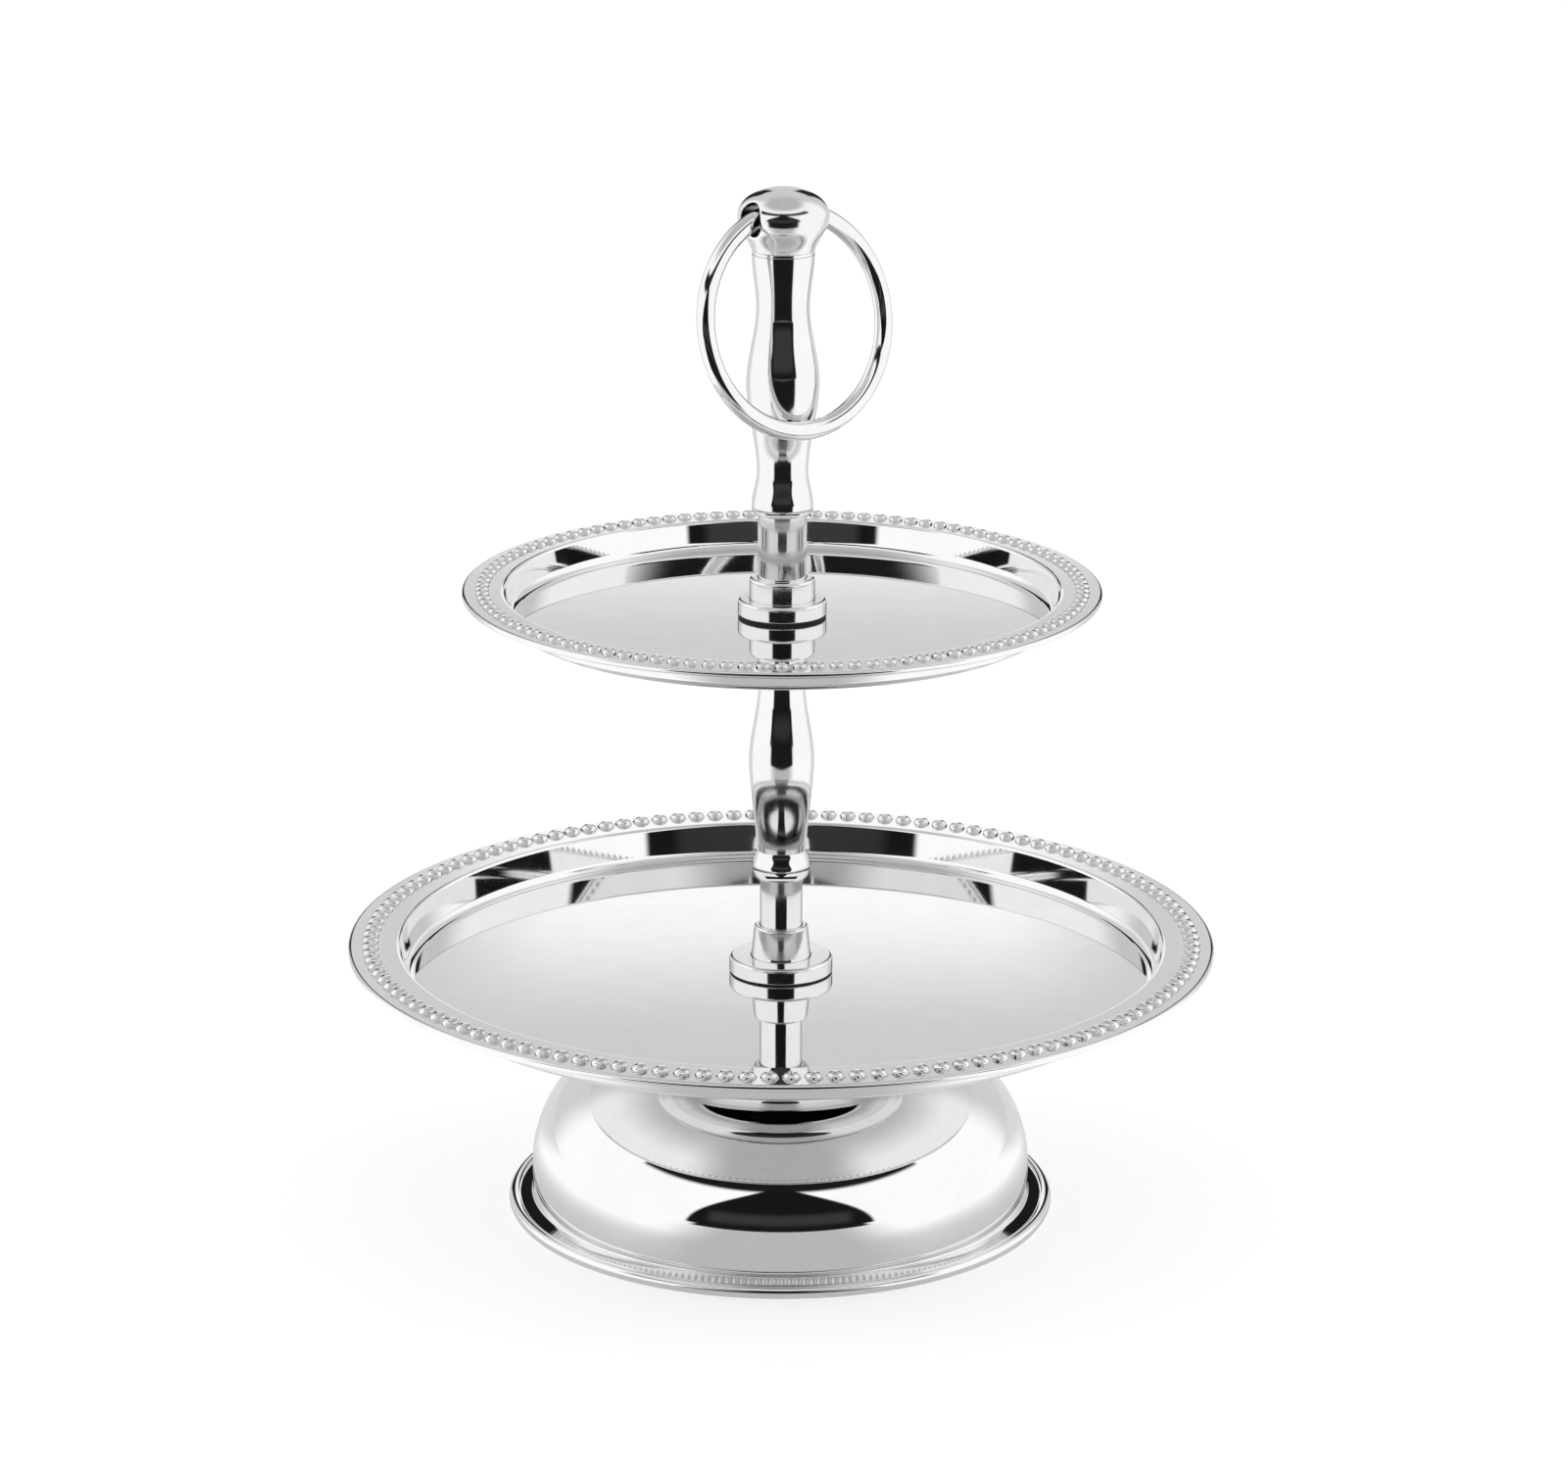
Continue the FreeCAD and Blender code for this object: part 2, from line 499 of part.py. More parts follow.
def build():
    pocket = COUPLING_FLATS / math.sqrt(3.0) + COUPLING_POCKET_GAP
    lower_neck_top = LOWER_BALUSTER_Z + NECK_INSERT
    upper_neck_top = UPPER_BALUSTER_Z + NECK_INSERT
    return {
        "foot_shell": foot_shell(),
        "foot_washer": washer(ROD_HOLE, FOOT_WASHER_RADIUS, FOOT_WASHER_Z, FOOT_WASHER_SHEET),
        "foot_lock_washer": lock_washer(),
        "foot_nut": hexagon_nut(FOOT_NUT_FLATS, NUT_BORE, FOOT_NUT_Z, FOOT_NUT_HEIGHT),
        "foot_gasket": washer(ROD_HOLE, FOOT_NECK_RADIUS - GASKET_INSET, FOOT_HEIGHT, FOOT_GASKET),
        "lower_tray": tray(
            LOWER_TRAY_RADIUS, LOWER_RIM_WIDTH, LOWER_WELL_DEPTH, LOWER_WALL_LEAN, LOWER_EDGE_WIRE,
            LOWER_TRAY_Z, (LOWER_BEAD_INSET, LOWER_BEAD_PITCH, LOWER_BEAD_WIDTH, LOWER_BEAD_RISE)),
        "lower_gasket": washer(ROD_HOLE, LOWER_FLANGE_RADIUS - GASKET_INSET, LOWER_FLOOR_Z, LOWER_GASKET),
        "lower_flange": flange(
            LOWER_FLANGE_RADIUS, LOWER_FLANGE_HEIGHT, LOWER_FLANGE_EDGE, LOWER_FLANGE_Z,
            SOCKET_FOOT_RADIUS, SOCKET_RECESS),
        "lower_socket": cup(
            SOCKET_FOOT_RADIUS, SOCKET_TOP_RADIUS, SOCKET_HEIGHT, SOCKET_FLOOR, SOCKET_LIP, SOCKET_Z,
            LOWER_NECK_RADIUS),
        "lower_neck": neck(LOWER_NECK_RADIUS, LOWER_NECK_Z, lower_neck_top),
        "lower_baluster": baluster(
            LOWER_BALUSTER, LOWER_NECK_RADIUS, LOWER_BALUSTER_Z, pocket, COUPLING_Z),
        "lower_tie_rod": rod(FOOT_NUT_Z - ROD_TAIL, ROD_MEETING_Z - ROD_MEETING_GAP / 2.0, THREAD_SHOWN),
        "coupling_nut": hexagon_nut(COUPLING_FLATS, NUT_BORE, COUPLING_Z, COUPLING_LENGTH),
        "support_disc": washer(pocket, SUPPORT_RADIUS, SUPPORT_Z, SUPPORT_HEIGHT, SUPPORT_EDGE),
        "support_gasket": washer(
            ROD_HOLE, SUPPORT_RADIUS - SUPPORT_EDGE - GASKET_INSET, SUPPORT_GASKET_Z, SUPPORT_GASKET),
        "upper_tray": tray(
            UPPER_TRAY_RADIUS, UPPER_RIM_WIDTH, UPPER_WELL_DEPTH, UPPER_WALL_LEAN, UPPER_EDGE_WIRE,
            UPPER_TRAY_Z, (UPPER_BEAD_INSET, UPPER_BEAD_PITCH, UPPER_BEAD_WIDTH, UPPER_BEAD_RISE)),
        "upper_gasket": washer(ROD_HOLE, UPPER_FLANGE_RADIUS - GASKET_INSET, UPPER_FLOOR_Z, UPPER_GASKET),
        "upper_flange": flange(
            UPPER_FLANGE_RADIUS, UPPER_FLANGE_HEIGHT, UPPER_FLANGE_EDGE, UPPER_FLANGE_Z,
            COLLAR_RADIUS, COLLAR_RECESS),
        "upper_step_collar": cup(
            COLLAR_RADIUS, COLLAR_RADIUS, COLLAR_HEIGHT, COLLAR_FLOOR, COLLAR_EDGE, COLLAR_Z,
            UPPER_NECK_RADIUS),
        "upper_neck": neck(UPPER_NECK_RADIUS, UPPER_NECK_Z, upper_neck_top),
        "upper_baluster": baluster(UPPER_BALUSTER, UPPER_NECK_RADIUS, UPPER_BALUSTER_Z),
        "finial_collar": washer(
            ROD_HOLE, UPPER_BALUSTER[-1][1] - FINIAL_BAND_STEP, FINIAL_BAND_Z, FINIAL_BAND),
        "finial_head": finial_head(),
        "upper_tie_rod": rod(
            ROD_MEETING_Z + ROD_MEETING_GAP / 2.0, FINIAL_Z + ROD_HEAD_DEPTH - ROD_HEAD_GAP, 0),
        "carrying_ring": carrying_ring(),
    }


os.makedirs("parts", exist_ok=True)
for name, shape in build().items():
    shape.exportStep("parts/" + name + ".step")
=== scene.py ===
"""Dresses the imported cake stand: mirror-smooth turned and spun surfaces, embossed beads, studio and camera.

Every shape is worked out in millimetres as a profile carried round the Z axis, or as a grid of two
parameters, and is put into its mesh in metres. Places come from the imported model's own boxes.
"""

import json
import logging
import math
from dataclasses import dataclass
from enum import Enum
from typing import Any, Callable, Sequence

import bpy
import numpy as np
from mathutils import Matrix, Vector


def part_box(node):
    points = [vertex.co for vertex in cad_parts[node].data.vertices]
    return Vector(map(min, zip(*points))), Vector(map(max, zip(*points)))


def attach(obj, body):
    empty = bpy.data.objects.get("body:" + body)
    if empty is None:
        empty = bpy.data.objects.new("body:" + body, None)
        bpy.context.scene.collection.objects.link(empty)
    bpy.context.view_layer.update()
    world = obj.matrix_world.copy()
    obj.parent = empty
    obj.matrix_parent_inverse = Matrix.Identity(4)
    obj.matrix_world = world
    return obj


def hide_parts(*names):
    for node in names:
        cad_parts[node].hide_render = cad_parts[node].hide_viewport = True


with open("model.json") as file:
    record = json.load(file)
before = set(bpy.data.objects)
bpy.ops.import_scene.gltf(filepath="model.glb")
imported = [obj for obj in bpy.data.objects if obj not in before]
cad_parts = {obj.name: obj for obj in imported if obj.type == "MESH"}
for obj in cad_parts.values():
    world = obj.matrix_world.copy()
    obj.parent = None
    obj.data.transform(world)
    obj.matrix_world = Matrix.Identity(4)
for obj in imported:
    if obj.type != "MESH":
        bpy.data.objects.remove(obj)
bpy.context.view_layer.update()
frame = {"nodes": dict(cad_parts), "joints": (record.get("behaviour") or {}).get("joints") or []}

MM = 0.001
QUARTER = 0.5523      # handle length over radius that makes a cubic curve follow a quarter circle
LOG = logging.getLogger("cake_stand")

STAND = "stand"
RING = "ring"


# ---------------------------------------------------------------------------------------------------------
# Colours and nodes
# ---------------------------------------------------------------------------------------------------------

def linear(hex_colour: str) -> tuple[float, float, float, float]:
    """Turns an sRGB hex colour into linear values.

    Args:
        hex_colour: six hex digits, such as "e6e6e4".

    Returns:
        Linear red, green and blue, and an alpha of 1.
    """
    channels = [int(hex_colour[i:i + 2], 16) / 255.0 for i in (0, 2, 4)]
    red, green, blue = (c / 12.92 if c <= 0.04045 else ((c + 0.055) / 1.055) ** 2.4 for c in channels)
    return red, green, blue, 1.0


def add_node(tree: bpy.types.NodeTree, kind: str, settings: dict[str, Any] | None = None,
             inputs: dict[Any, Any] | None = None) -> bpy.types.Node:
    """Adds a node with its settings, and gives each input a value or a link.

    Args:
        tree: the node tree that the node goes into.
        kind: the node's Blender type.
        settings: attributes of the node itself.
        inputs: socket name or number to a value, or to the output socket that feeds it.

    Returns:
        The new node.
    """
    node = tree.nodes.new(kind)
    for key, value in (settings or {}).items():
        setattr(node, key, value)
    for key, value in (inputs or {}).items():
        if isinstance(value, bpy.types.NodeSocket):
            tree.links.new(value, node.inputs[key])
        else:
            node.inputs[key].default_value = value
    return node


# ---------------------------------------------------------------------------------------------------------
# Turned surfaces
# ---------------------------------------------------------------------------------------------------------

class Profile:
    """A path in the (radius, height) half-plane, in millimetres, with the exact normal at each step's ends.

    Outwards is to the left of the direction of travel, so a closed profile runs clockwise.
    """

    def __init__(self, r: float, z: float) -> None:
        """Starts the path at one point."""
        self.points: list[np.ndarray] = [np.array([r, z], float)]
        self.normals: list[tuple[np.ndarray, np.ndarray]] = []

    def _extend(self, points: np.ndarray, tangents: np.ndarray) -> "Profile":
        """Adds steps through points.

        Args:
            points: where the steps meet; the first is where the path already is.
            tangents: the direction of travel at each of them, of any length.

        Returns:
            The profile itself.
        """
        lengths = np.linalg.norm(tangents, axis=1, keepdims=True)
        unit = tangents / np.where(lengths > 0, lengths, 1.0)
        left = np.stack([-unit[:, 1], unit[:, 0]], axis=1)
        self.points.extend(points[1:])
        self.normals.extend(zip(left[:-1], left[1:]))
        return self

    def line(self, r: float, z: float) -> "Profile":
        """Goes straight to a point, or nowhere if it is already there.

        Args:
            r: the point's radius.
            z: its height.

        Returns:
            The profile itself.
        """
        start, end = self.points[-1], np.array([r, z], float)
        if np.linalg.norm(end - start) < 1e-6:
            return self
        return self._extend(np.stack([start, end]), np.stack([end - start] * 2))

    def arc(self, centre: tuple[float, float], radius: float, start: float, end: float,
            steps: int) -> "Profile":
        """Follows a circle: centre plus radius times (cosine, sine) of an angle that runs from start to end.

        Args:
            centre: the circle's centre.
            radius: its radius.
            start: angle in degrees where it begins, which is where the path already is.
            end: angle in degrees where it ends.
            steps: how many straight steps stand for it.

        Returns:
            The profile itself.
        """
        angle = np.radians(np.linspace(start, end, steps + 1))
        spoke = np.stack([np.cos(angle), np.sin(angle)], axis=1)
        turn = math.copysign(1.0, end - start)
        along = np.stack([-np.sin(angle), np.cos(angle)], axis=1) * turn
        return self._extend(np.array(centre) + radius * spoke, along)

    def wave(self, r: float, z: float, steps: int) -> "Profile":
        """Goes upright to upright between two radii: start plus the change times 3t^2 - 2t^3, t up the path.

        Args:
            r: the radius at the end.
            z: the height at the end.
            steps: how many straight steps stand for it.

        Returns:
            The profile itself.
        """
        r0, z0 = self.points[-1]
        t = np.linspace(0.0, 1.0, steps + 1)
        points = np.stack([r0 + (r - r0) * t * t * (3 - 2 * t), z0 + (z - z0) * t], axis=1)
        slopes = np.stack([(r - r0) * 6 * t * (1 - t), np.full_like(t, z - z0)], axis=1)
        return self._extend(points, slopes)

    def bezier(self, handle: tuple[float, float], end_handle: tuple[float, float],
               end: tuple[float, float], steps: int) -> "Profile":
        """Follows a cubic curve: the sum of four points weighted by (1-t)^3, 3t(1-t)^2, 3t^2(1-t) and t^3.

        Args:
            handle: the second point; the first is where the path already is.
            end_handle: the third point.
            end: the fourth point, where the curve stops.
            steps: how many straight steps stand for it.

        Returns:
            The profile itself.
        """
        poles = np.array([self.points[-1], handle, end_handle, end], float)
        t = np.linspace(0.0, 1.0, steps + 1)[:, None]
        weights = np.hstack([(1 - t) ** 3, 3 * t * (1 - t) ** 2, 3 * t * t * (1 - t), t ** 3])
        slopes = np.hstack([(1 - t) ** 2, 2 * t * (1 - t), t * t])
        return self._extend(weights @ poles, slopes @ np.diff(poles, axis=0))

    def corners(self, corners: Sequence[tuple[float, float, float]], steps: int = 6) -> "Profile":
        """Visits (radius, height, rounding) corners in turn, each rounded by a tangent arc of that radius.

        Args:
            corners: the corners after the current point; the last one is where the path stops, unrounded.
            steps: how many straight steps stand for each rounding.

        Returns:
            The profile itself.
        """
        for index, (r, z, rounding) in enumerate(corners):
            here = np.array([r, z], float)
            if rounding == 0 or index == len(corners) - 1:
                self.line(r, z)
                continue
            before = self.points[-1] - here
            after = np.array(corners[index + 1][:2], float) - here
            before /= np.linalg.norm(before)
            after /= np.linalg.norm(after)
            half = math.acos(float(np.clip(before @ after, -1, 1))) / 2
            bisector = (before + after) / np.linalg.norm(before + after)
            centre = here + bisector * rounding / math.sin(half)
            reach = rounding / math.tan(half)
            first, last = here + before * reach, here + after * reach
            self.line(*first)
            start = math.degrees(math.atan2(*(first - centre)[::-1]))
            end = math.degrees(math.atan2(*(last - centre)[::-1]))
            end = start + (end - start + 180.0) % 360.0 - 180.0
            self.arc(tuple(centre), rounding, start, end, steps)
        return self


class Lathe:
    """Collects rings of vertices about the Z axis, and strips of faces between them with exact normals."""

    def __init__(self) -> None:
        """Starts with nothing."""
        self.points: list[np.ndarray] = []
        self.total = 0
        self.strips: list[tuple[np.ndarray, np.ndarray]] = []

    def ring(self, radius: float | np.ndarray, height: float | np.ndarray, count: int) -> np.ndarray:
        """Adds vertices at (radius cos a, radius sin a, height), a evenly spaced round the circle.

        Args:
            radius: one radius, or one per vertex; 0 makes a single pole vertex.
            height: one height, or one per vertex.
            count: how many vertices stand round the circle.

        Returns:
            The index of the vertex at each angle.
        """
        if np.isscalar(radius) and radius < 1e-9:
            self.points.append(np.array([[0.0, 0.0, float(height)]]))
            self.total += 1
            return np.full(count, self.total - 1)
        angle = 2 * np.pi * np.arange(count) / count
        ones = np.ones(count)
        self.points.append(np.stack([radius * np.cos(angle), radius * np.sin(angle), height * ones], axis=1))
        self.total += count
        return np.arange(self.total - count, self.total)

    @staticmethod
    def spread(normal: np.ndarray, count: int) -> np.ndarray:
        """Turns normals about the axis to the angle of each vertex.

        Args:
            normal: one (radius, height) normal, or a (radius, round, height) one per vertex.
            count: how many vertices stand round the circle.

        Returns:
            One (x, y, z) normal per vertex.
        """
        angle = 2 * np.pi * np.arange(count) / count
        if normal.ndim == 1:
            normal = np.array([[normal[0], 0.0, normal[1]]])
        outward, sideways, upward = normal[:, 0], normal[:, 1], normal[:, 2]
        return np.stack([
            outward * np.cos(angle) - sideways * np.sin(angle),
            outward * np.sin(angle) + sideways * np.cos(angle),
            upward * np.ones(count)], axis=1)

    def strip(self, near: np.ndarray, far: np.ndarray, near_normal: np.ndarray,
              far_normal: np.ndarray) -> None:
        """Joins two rings by quads, or by triangles at a pole, or by wider faces where the counts differ.

        Args:
            near: the ring that the profile leaves.
            far: the ring that it reaches.
            near_normal: the normals at the near ring, as spread takes them.
            far_normal: the normals at the far ring.
        """
        if len(near) != len(far):
            self._gather(near, far, near_normal)
            return
        count = len(near)
        following = np.roll(np.arange(count), -1)
        a, b = self.spread(near_normal, count), self.spread(far_normal, count)
        faces = [near, far, far[following], near[following]]
        shades = [a, b, b[following], a[following]]
        if near[0] == near[1]:
            faces, shades = faces[:3], shades[:3]
        elif far[0] == far[1]:
            faces, shades = [faces[0], faces[1], faces[3]], [shades[0], shades[1], shades[3]]
        self.strips.append((np.stack(faces, axis=1), np.stack(shades, axis=1)))

    def _gather(self, near: np.ndarray, far: np.ndarray, normal: np.ndarray) -> None:
        """Joins a ring to one with a whole multiple of its vertices, across a flat stretch.

        Args:
            near: the ring that the profile leaves.
            far: the ring that it reaches.
            normal: the flat's (radius, height) normal, of which only the way up is used.
        """
        fine, coarse = (near, far) if len(near) > len(far) else (far, near)
        ratio = len(fine) // len(coarse)
        columns = (np.arange(len(coarse))[:, None] * ratio + np.arange(ratio + 1)) % len(fine)
        ends = np.stack([coarse, np.roll(coarse, -1)], axis=1)
        if len(near) > len(far):
            faces = np.hstack([fine[columns][:, ::-1], ends])
        else:
            faces = np.hstack([fine[columns], ends[:, ::-1]])
        flat = np.array([0.0, 0.0, math.copysign(1.0, normal[1])])
        self.strips.append((faces, np.broadcast_to(flat, faces.shape + (3,))))

    def follow(self, profile: Profile, count: int, first: np.ndarray | None = None,
               last: np.ndarray | None = None) -> tuple[np.ndarray, np.ndarray]:
        """Carries a profile round the axis.

        Args:
            profile: the path to carry.
            count: how many columns stand round the circle.
            first: the ring that the path starts from, if it is there already.
            last: the ring that the path ends on, if it is there already.

        Returns:
            The rings at the path's start and end.
        """
        rings = [self.ring(float(r), float(z), count) for r, z in profile.points[1:-1]]
        start = self.ring(*map(float, profile.points[0]), count) if first is None else first
        closes = last is None and np.allclose(profile.points[0], profile.points[-1])
        if closes:
            end = start
        else:
            end = self.ring(*map(float, profile.points[-1]), count) if last is None else last
        rings = [start] + rings + [end]
        for index, (near_normal, far_normal) in enumerate(profile.normals):
            self.strip(rings[index], rings[index + 1], near_normal, far_normal)
        return start, end

    def piece(self, name: str) -> bpy.types.Object:
        """Makes the mesh and its object, in metres."""
        return shaded_piece(name, np.concatenate(self.points), self.strips)


def shaded_piece(name: str, points: np.ndarray,
                 strips: Sequence[tuple[np.ndarray, np.ndarray]]) -> bpy.types.Object:
    """Makes an object from points and groups of faces, each corner with its own exact normal.

    Args:
        name: the piece's name.
        points: one row per vertex, in millimetres.
        strips: pairs of (faces, corners) vertex numbers and (faces, corners, 3) normals.

    Returns:
        The new object, at the origin.
    """
    mesh = bpy.data.meshes.new(name)
    corners = np.concatenate([faces.ravel() for faces, _ in strips]).astype(np.int32)
    sizes = np.concatenate([np.full(len(faces), faces.shape[1]) for faces, _ in strips]).astype(np.int32)
    starts = np.concatenate([[0], np.cumsum(sizes)[:-1]]).astype(np.int32)
    shades = np.concatenate([np.asarray(normals, float).reshape(-1, 3) for _, normals in strips])
    mesh.vertices.add(len(points))
    mesh.vertices.foreach_set("co", (points * MM).astype(np.float32).ravel())
    mesh.loops.add(len(corners))
    mesh.loops.foreach_set("vertex_index", corners)
    mesh.polygons.add(len(sizes))
    mesh.polygons.foreach_set("loop_start", starts)
    mesh.polygons.foreach_set("loop_total", sizes)
    mesh.update(calc_edges=True)
    mesh.validate()
    mesh.polygons.foreach_set("use_smooth", np.ones(len(sizes), bool))
    mesh.normals_split_custom_set(shades.astype(np.float32))
    piece = bpy.data.objects.new(name, mesh)
    bpy.context.scene.collection.objects.link(piece)
    return piece


def turned(name: str, profile: Profile, count: int) -> bpy.types.Object:
    """Makes one closed piece from one closed profile.

    Args:
        name: the piece's name.
        profile: the profile.
        count: how many columns stand round the circle.

    Returns:
        The new object.
    """
    lathe = Lathe()
    lathe.follow(profile, count)
    return lathe.piece(name)


# ---------------------------------------------------------------------------------------------------------
# Finishes
# ---------------------------------------------------------------------------------------------------------

class Grain(Enum):
    """Which way a finish's fine marks run."""

    ROUND = "rings about the axis, by radius"
    TURNED = "rings about the axis, by height"
    EVEN = "no direction"


@dataclass(frozen=True)
class BrightMetal:
    """Polished chrome-plated metal: nearly neutral, with wipe marks in its gloss and a trace of tool marks.

    The eye gets clean hard reflections, broken only by faint smears and by lines too fine to count.
    """

    name: str
    light: str
    dark: str
    gloss: float
    smear: float
    grain: Grain
    mark_mm: float
    mark_depth_mm: float
    wave_mm: float = 9.0
    wave_depth_mm: float = 0.0

    def build(self) -> bpy.types.Material:
        """Builds the material.

        Returns:
            A metallic shader whose roughness varies by smears and whose normal varies by marks and waves.
        """
        material = bpy.data.materials.new(self.name)
        material.use_nodes = True
        tree = material.node_tree
        shader = tree.nodes["Principled BSDF"]
        shader.inputs["Metallic"].default_value = 1.0
        place = add_node(tree, "ShaderNodeTexCoord").outputs["Object"]

        # Wipe marks of a few millimetres shift the gloss and, hardly at all, the colour.
        smears = add_node(tree, "ShaderNodeTexNoise", {"noise_dimensions": "3D"},
                          {"Vector": place, "Scale": 1.0 / (14.0 * MM), "Detail": 5.0, "Roughness": 0.62})
        gloss = add_node(tree, "ShaderNodeMapRange", None, {
            "Value": smears.outputs["Fac"], "From Min": 0.35, "From Max": 0.75,
            "To Min": self.gloss, "To Max": self.gloss + self.smear})
        tint = add_node(tree, "ShaderNodeMix", {"data_type": "RGBA"}, {
            "Factor": smears.outputs["Fac"], 6: linear(self.light), 7: linear(self.dark)})
        tree.links.new(gloss.outputs["Result"], shader.inputs["Roughness"])
        tree.links.new(tint.outputs[2], shader.inputs["Base Color"])

        marks = self._marks(tree, place)
        bump = add_node(tree, "ShaderNodeBump", None, {
            "Strength": 1.0, "Distance": self.mark_depth_mm * MM, "Height": marks})
        if self.wave_depth_mm > 0:
            # The sheet's own unevenness, a few millimetres from crest to crest.
            waves = add_node(tree, "ShaderNodeTexNoise", {"noise_dimensions": "3D"}, {
                "Vector": place, "Scale": 1.0 / (self.wave_mm * MM), "Detail": 1.0, "Roughness": 0.4})
            bump = add_node(tree, "ShaderNodeBump", None, {
                "Strength": 1.0, "Distance": self.wave_depth_mm * MM, "Height": waves.outputs["Fac"],
                "Normal": bump.outputs["Normal"]})
        tree.links.new(bump.outputs["Normal"], shader.inputs["Normal"])
        return material

    def _marks(self, tree: bpy.types.NodeTree, place: bpy.types.NodeSocket) -> bpy.types.NodeSocket:
        """Adds the fine marks, mark_mm apart.

        Args:
            tree: the material's tree.
            place: the position on the piece.

        Returns:
            The marks' height.
        """
        across = place
        if self.grain is not Grain.EVEN:
            parts = add_node(tree, "ShaderNodeSeparateXYZ", None, {"Vector": place})
            flat = add_node(tree, "ShaderNodeCombineXYZ", None, {
                "X": parts.outputs["X"], "Y": parts.outputs["Y"]})
            if self.grain is Grain.ROUND:
                radius = add_node(tree, "ShaderNodeVectorMath", {"operation": "LENGTH"},
                                  {0: flat.outputs["Vector"]})
                lead = radius.outputs["Value"]
            else:
                lead = parts.outputs["Z"]
            across = add_node(tree, "ShaderNodeCombineXYZ", None, {"X": lead}).outputs["Vector"]
        marks = add_node(tree, "ShaderNodeTexNoise", {"noise_dimensions": "3D"}, {
            "Vector": across, "Scale": 1.0 / (self.mark_mm * MM), "Detail": 2.0, "Roughness": 0.5})
        return marks.outputs["Fac"]


@dataclass(frozen=True)
class SoftRubber:
    """Moulded black rubber: dead matt, with a fine pebbled skin."""

    name: str = "rubber_moulded_black"
    colour: str = "0b0b0b"
    worn: str = "161616"
    pebble_mm: float = 0.5
    pebble_depth_mm: float = 0.02

    def build(self) -> bpy.types.Material:
        """Builds the material.

        Returns:
            A rough dark shader, slightly uneven in colour, roughness and height.
        """
        material = bpy.data.materials.new(self.name)
        material.use_nodes = True
        tree = material.node_tree
        shader = tree.nodes["Principled BSDF"]
        place = add_node(tree, "ShaderNodeTexCoord").outputs["Object"]
        pebble = add_node(tree, "ShaderNodeTexNoise", None, {
            "Vector": place, "Scale": 1.0 / (self.pebble_mm * MM), "Detail": 2.0}).outputs["Fac"]
        tint = add_node(tree, "ShaderNodeMix", {"data_type": "RGBA"}, {
            "Factor": pebble, 6: linear(self.colour), 7: linear(self.worn)})
        rough = add_node(tree, "ShaderNodeMapRange", None, {"Value": pebble, "To Min": 0.62, "To Max": 0.8})
        bump = add_node(tree, "ShaderNodeBump", None, {
            "Strength": 1.0, "Distance": self.pebble_depth_mm * MM, "Height": pebble})
        tree.links.new(tint.outputs[2], shader.inputs["Base Color"])
        tree.links.new(rough.outputs["Result"], shader.inputs["Roughness"])
        tree.links.new(bump.outputs["Normal"], shader.inputs["Normal"])
        return material


# Spun sheet keeps the fine rings of the spinning lathe, which polishing leaves only as a trace.
SPUN_SHEET = BrightMetal("chrome_plated_spun_sheet", "f1f1f0", "e6e6e6", 0.02, 0.03, Grain.ROUND,
                         1.2, 0.0002, 16.0, 0.004)
# Turned columns were buffed on the lathe: a little softer, with tool marks along the height.
TURNED_COLUMN = BrightMetal("chrome_plated_turned_column", "efefee", "e2e2e2", 0.05, 0.05, Grain.TURNED,
                            0.7, 0.0006, 5.0, 0.003)
# The head was buffed by hand over its dome, so its gloss is softest.
BUFFED_HEAD = BrightMetal("chrome_plated_buffed_head", "efefee", "dfdfdf", 0.10, 0.06, Grain.EVEN,
                          0.8, 0.0008, 5.0, 0.003)
# Drawn wire was bent and barrel-polished, which leaves shallow dimples.
POLISHED_WIRE = BrightMetal("chrome_plated_polished_wire", "efefee", "e2e2e2", 0.05, 0.06, Grain.EVEN,
                            0.6, 0.0012, 4.0, 0.006)
# Bright zinc on the hidden nuts, washers and rods: greyer and blurred.
ZINC_PLATE = BrightMetal("zinc_plated_fastener", "b8bab8", "8f918e", 0.28, 0.15, Grain.EVEN, 0.5, 0.004)


# ---------------------------------------------------------------------------------------------------------
# Sub-assemblies
# ---------------------------------------------------------------------------------------------------------

def base_of(node: str) -> float:
    """The lowest height of a CAD node, in millimetres."""
    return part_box(node)[0].z / MM


def top_of(node: str) -> float:
    """The highest height of a CAD node, in millimetres."""
    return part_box(node)[1].z / MM


def reach_of(node: str) -> float:
    """The radius of a round CAD node about the Z axis, in millimetres."""
    low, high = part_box(node)
    return max(high.x, high.y, -low.x, -low.y) / MM


def dress(piece: bpy.types.Object, material: bpy.types.Material, node: str,
          body: str = STAND) -> None:
    """Gives a piece its finish, its body and the CAD node that it stands for, and reports it.

    Args:
        piece: the piece.
        material: its finish.
        node: the CAD node that it stands for.
        body: the body that it rides on.
    """
    piece.data.materials.append(material)
    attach(piece, body)
    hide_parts(node)
    LOG.info("%s stands for %s: %d faces", piece.name, node, len(piece.data.polygons))


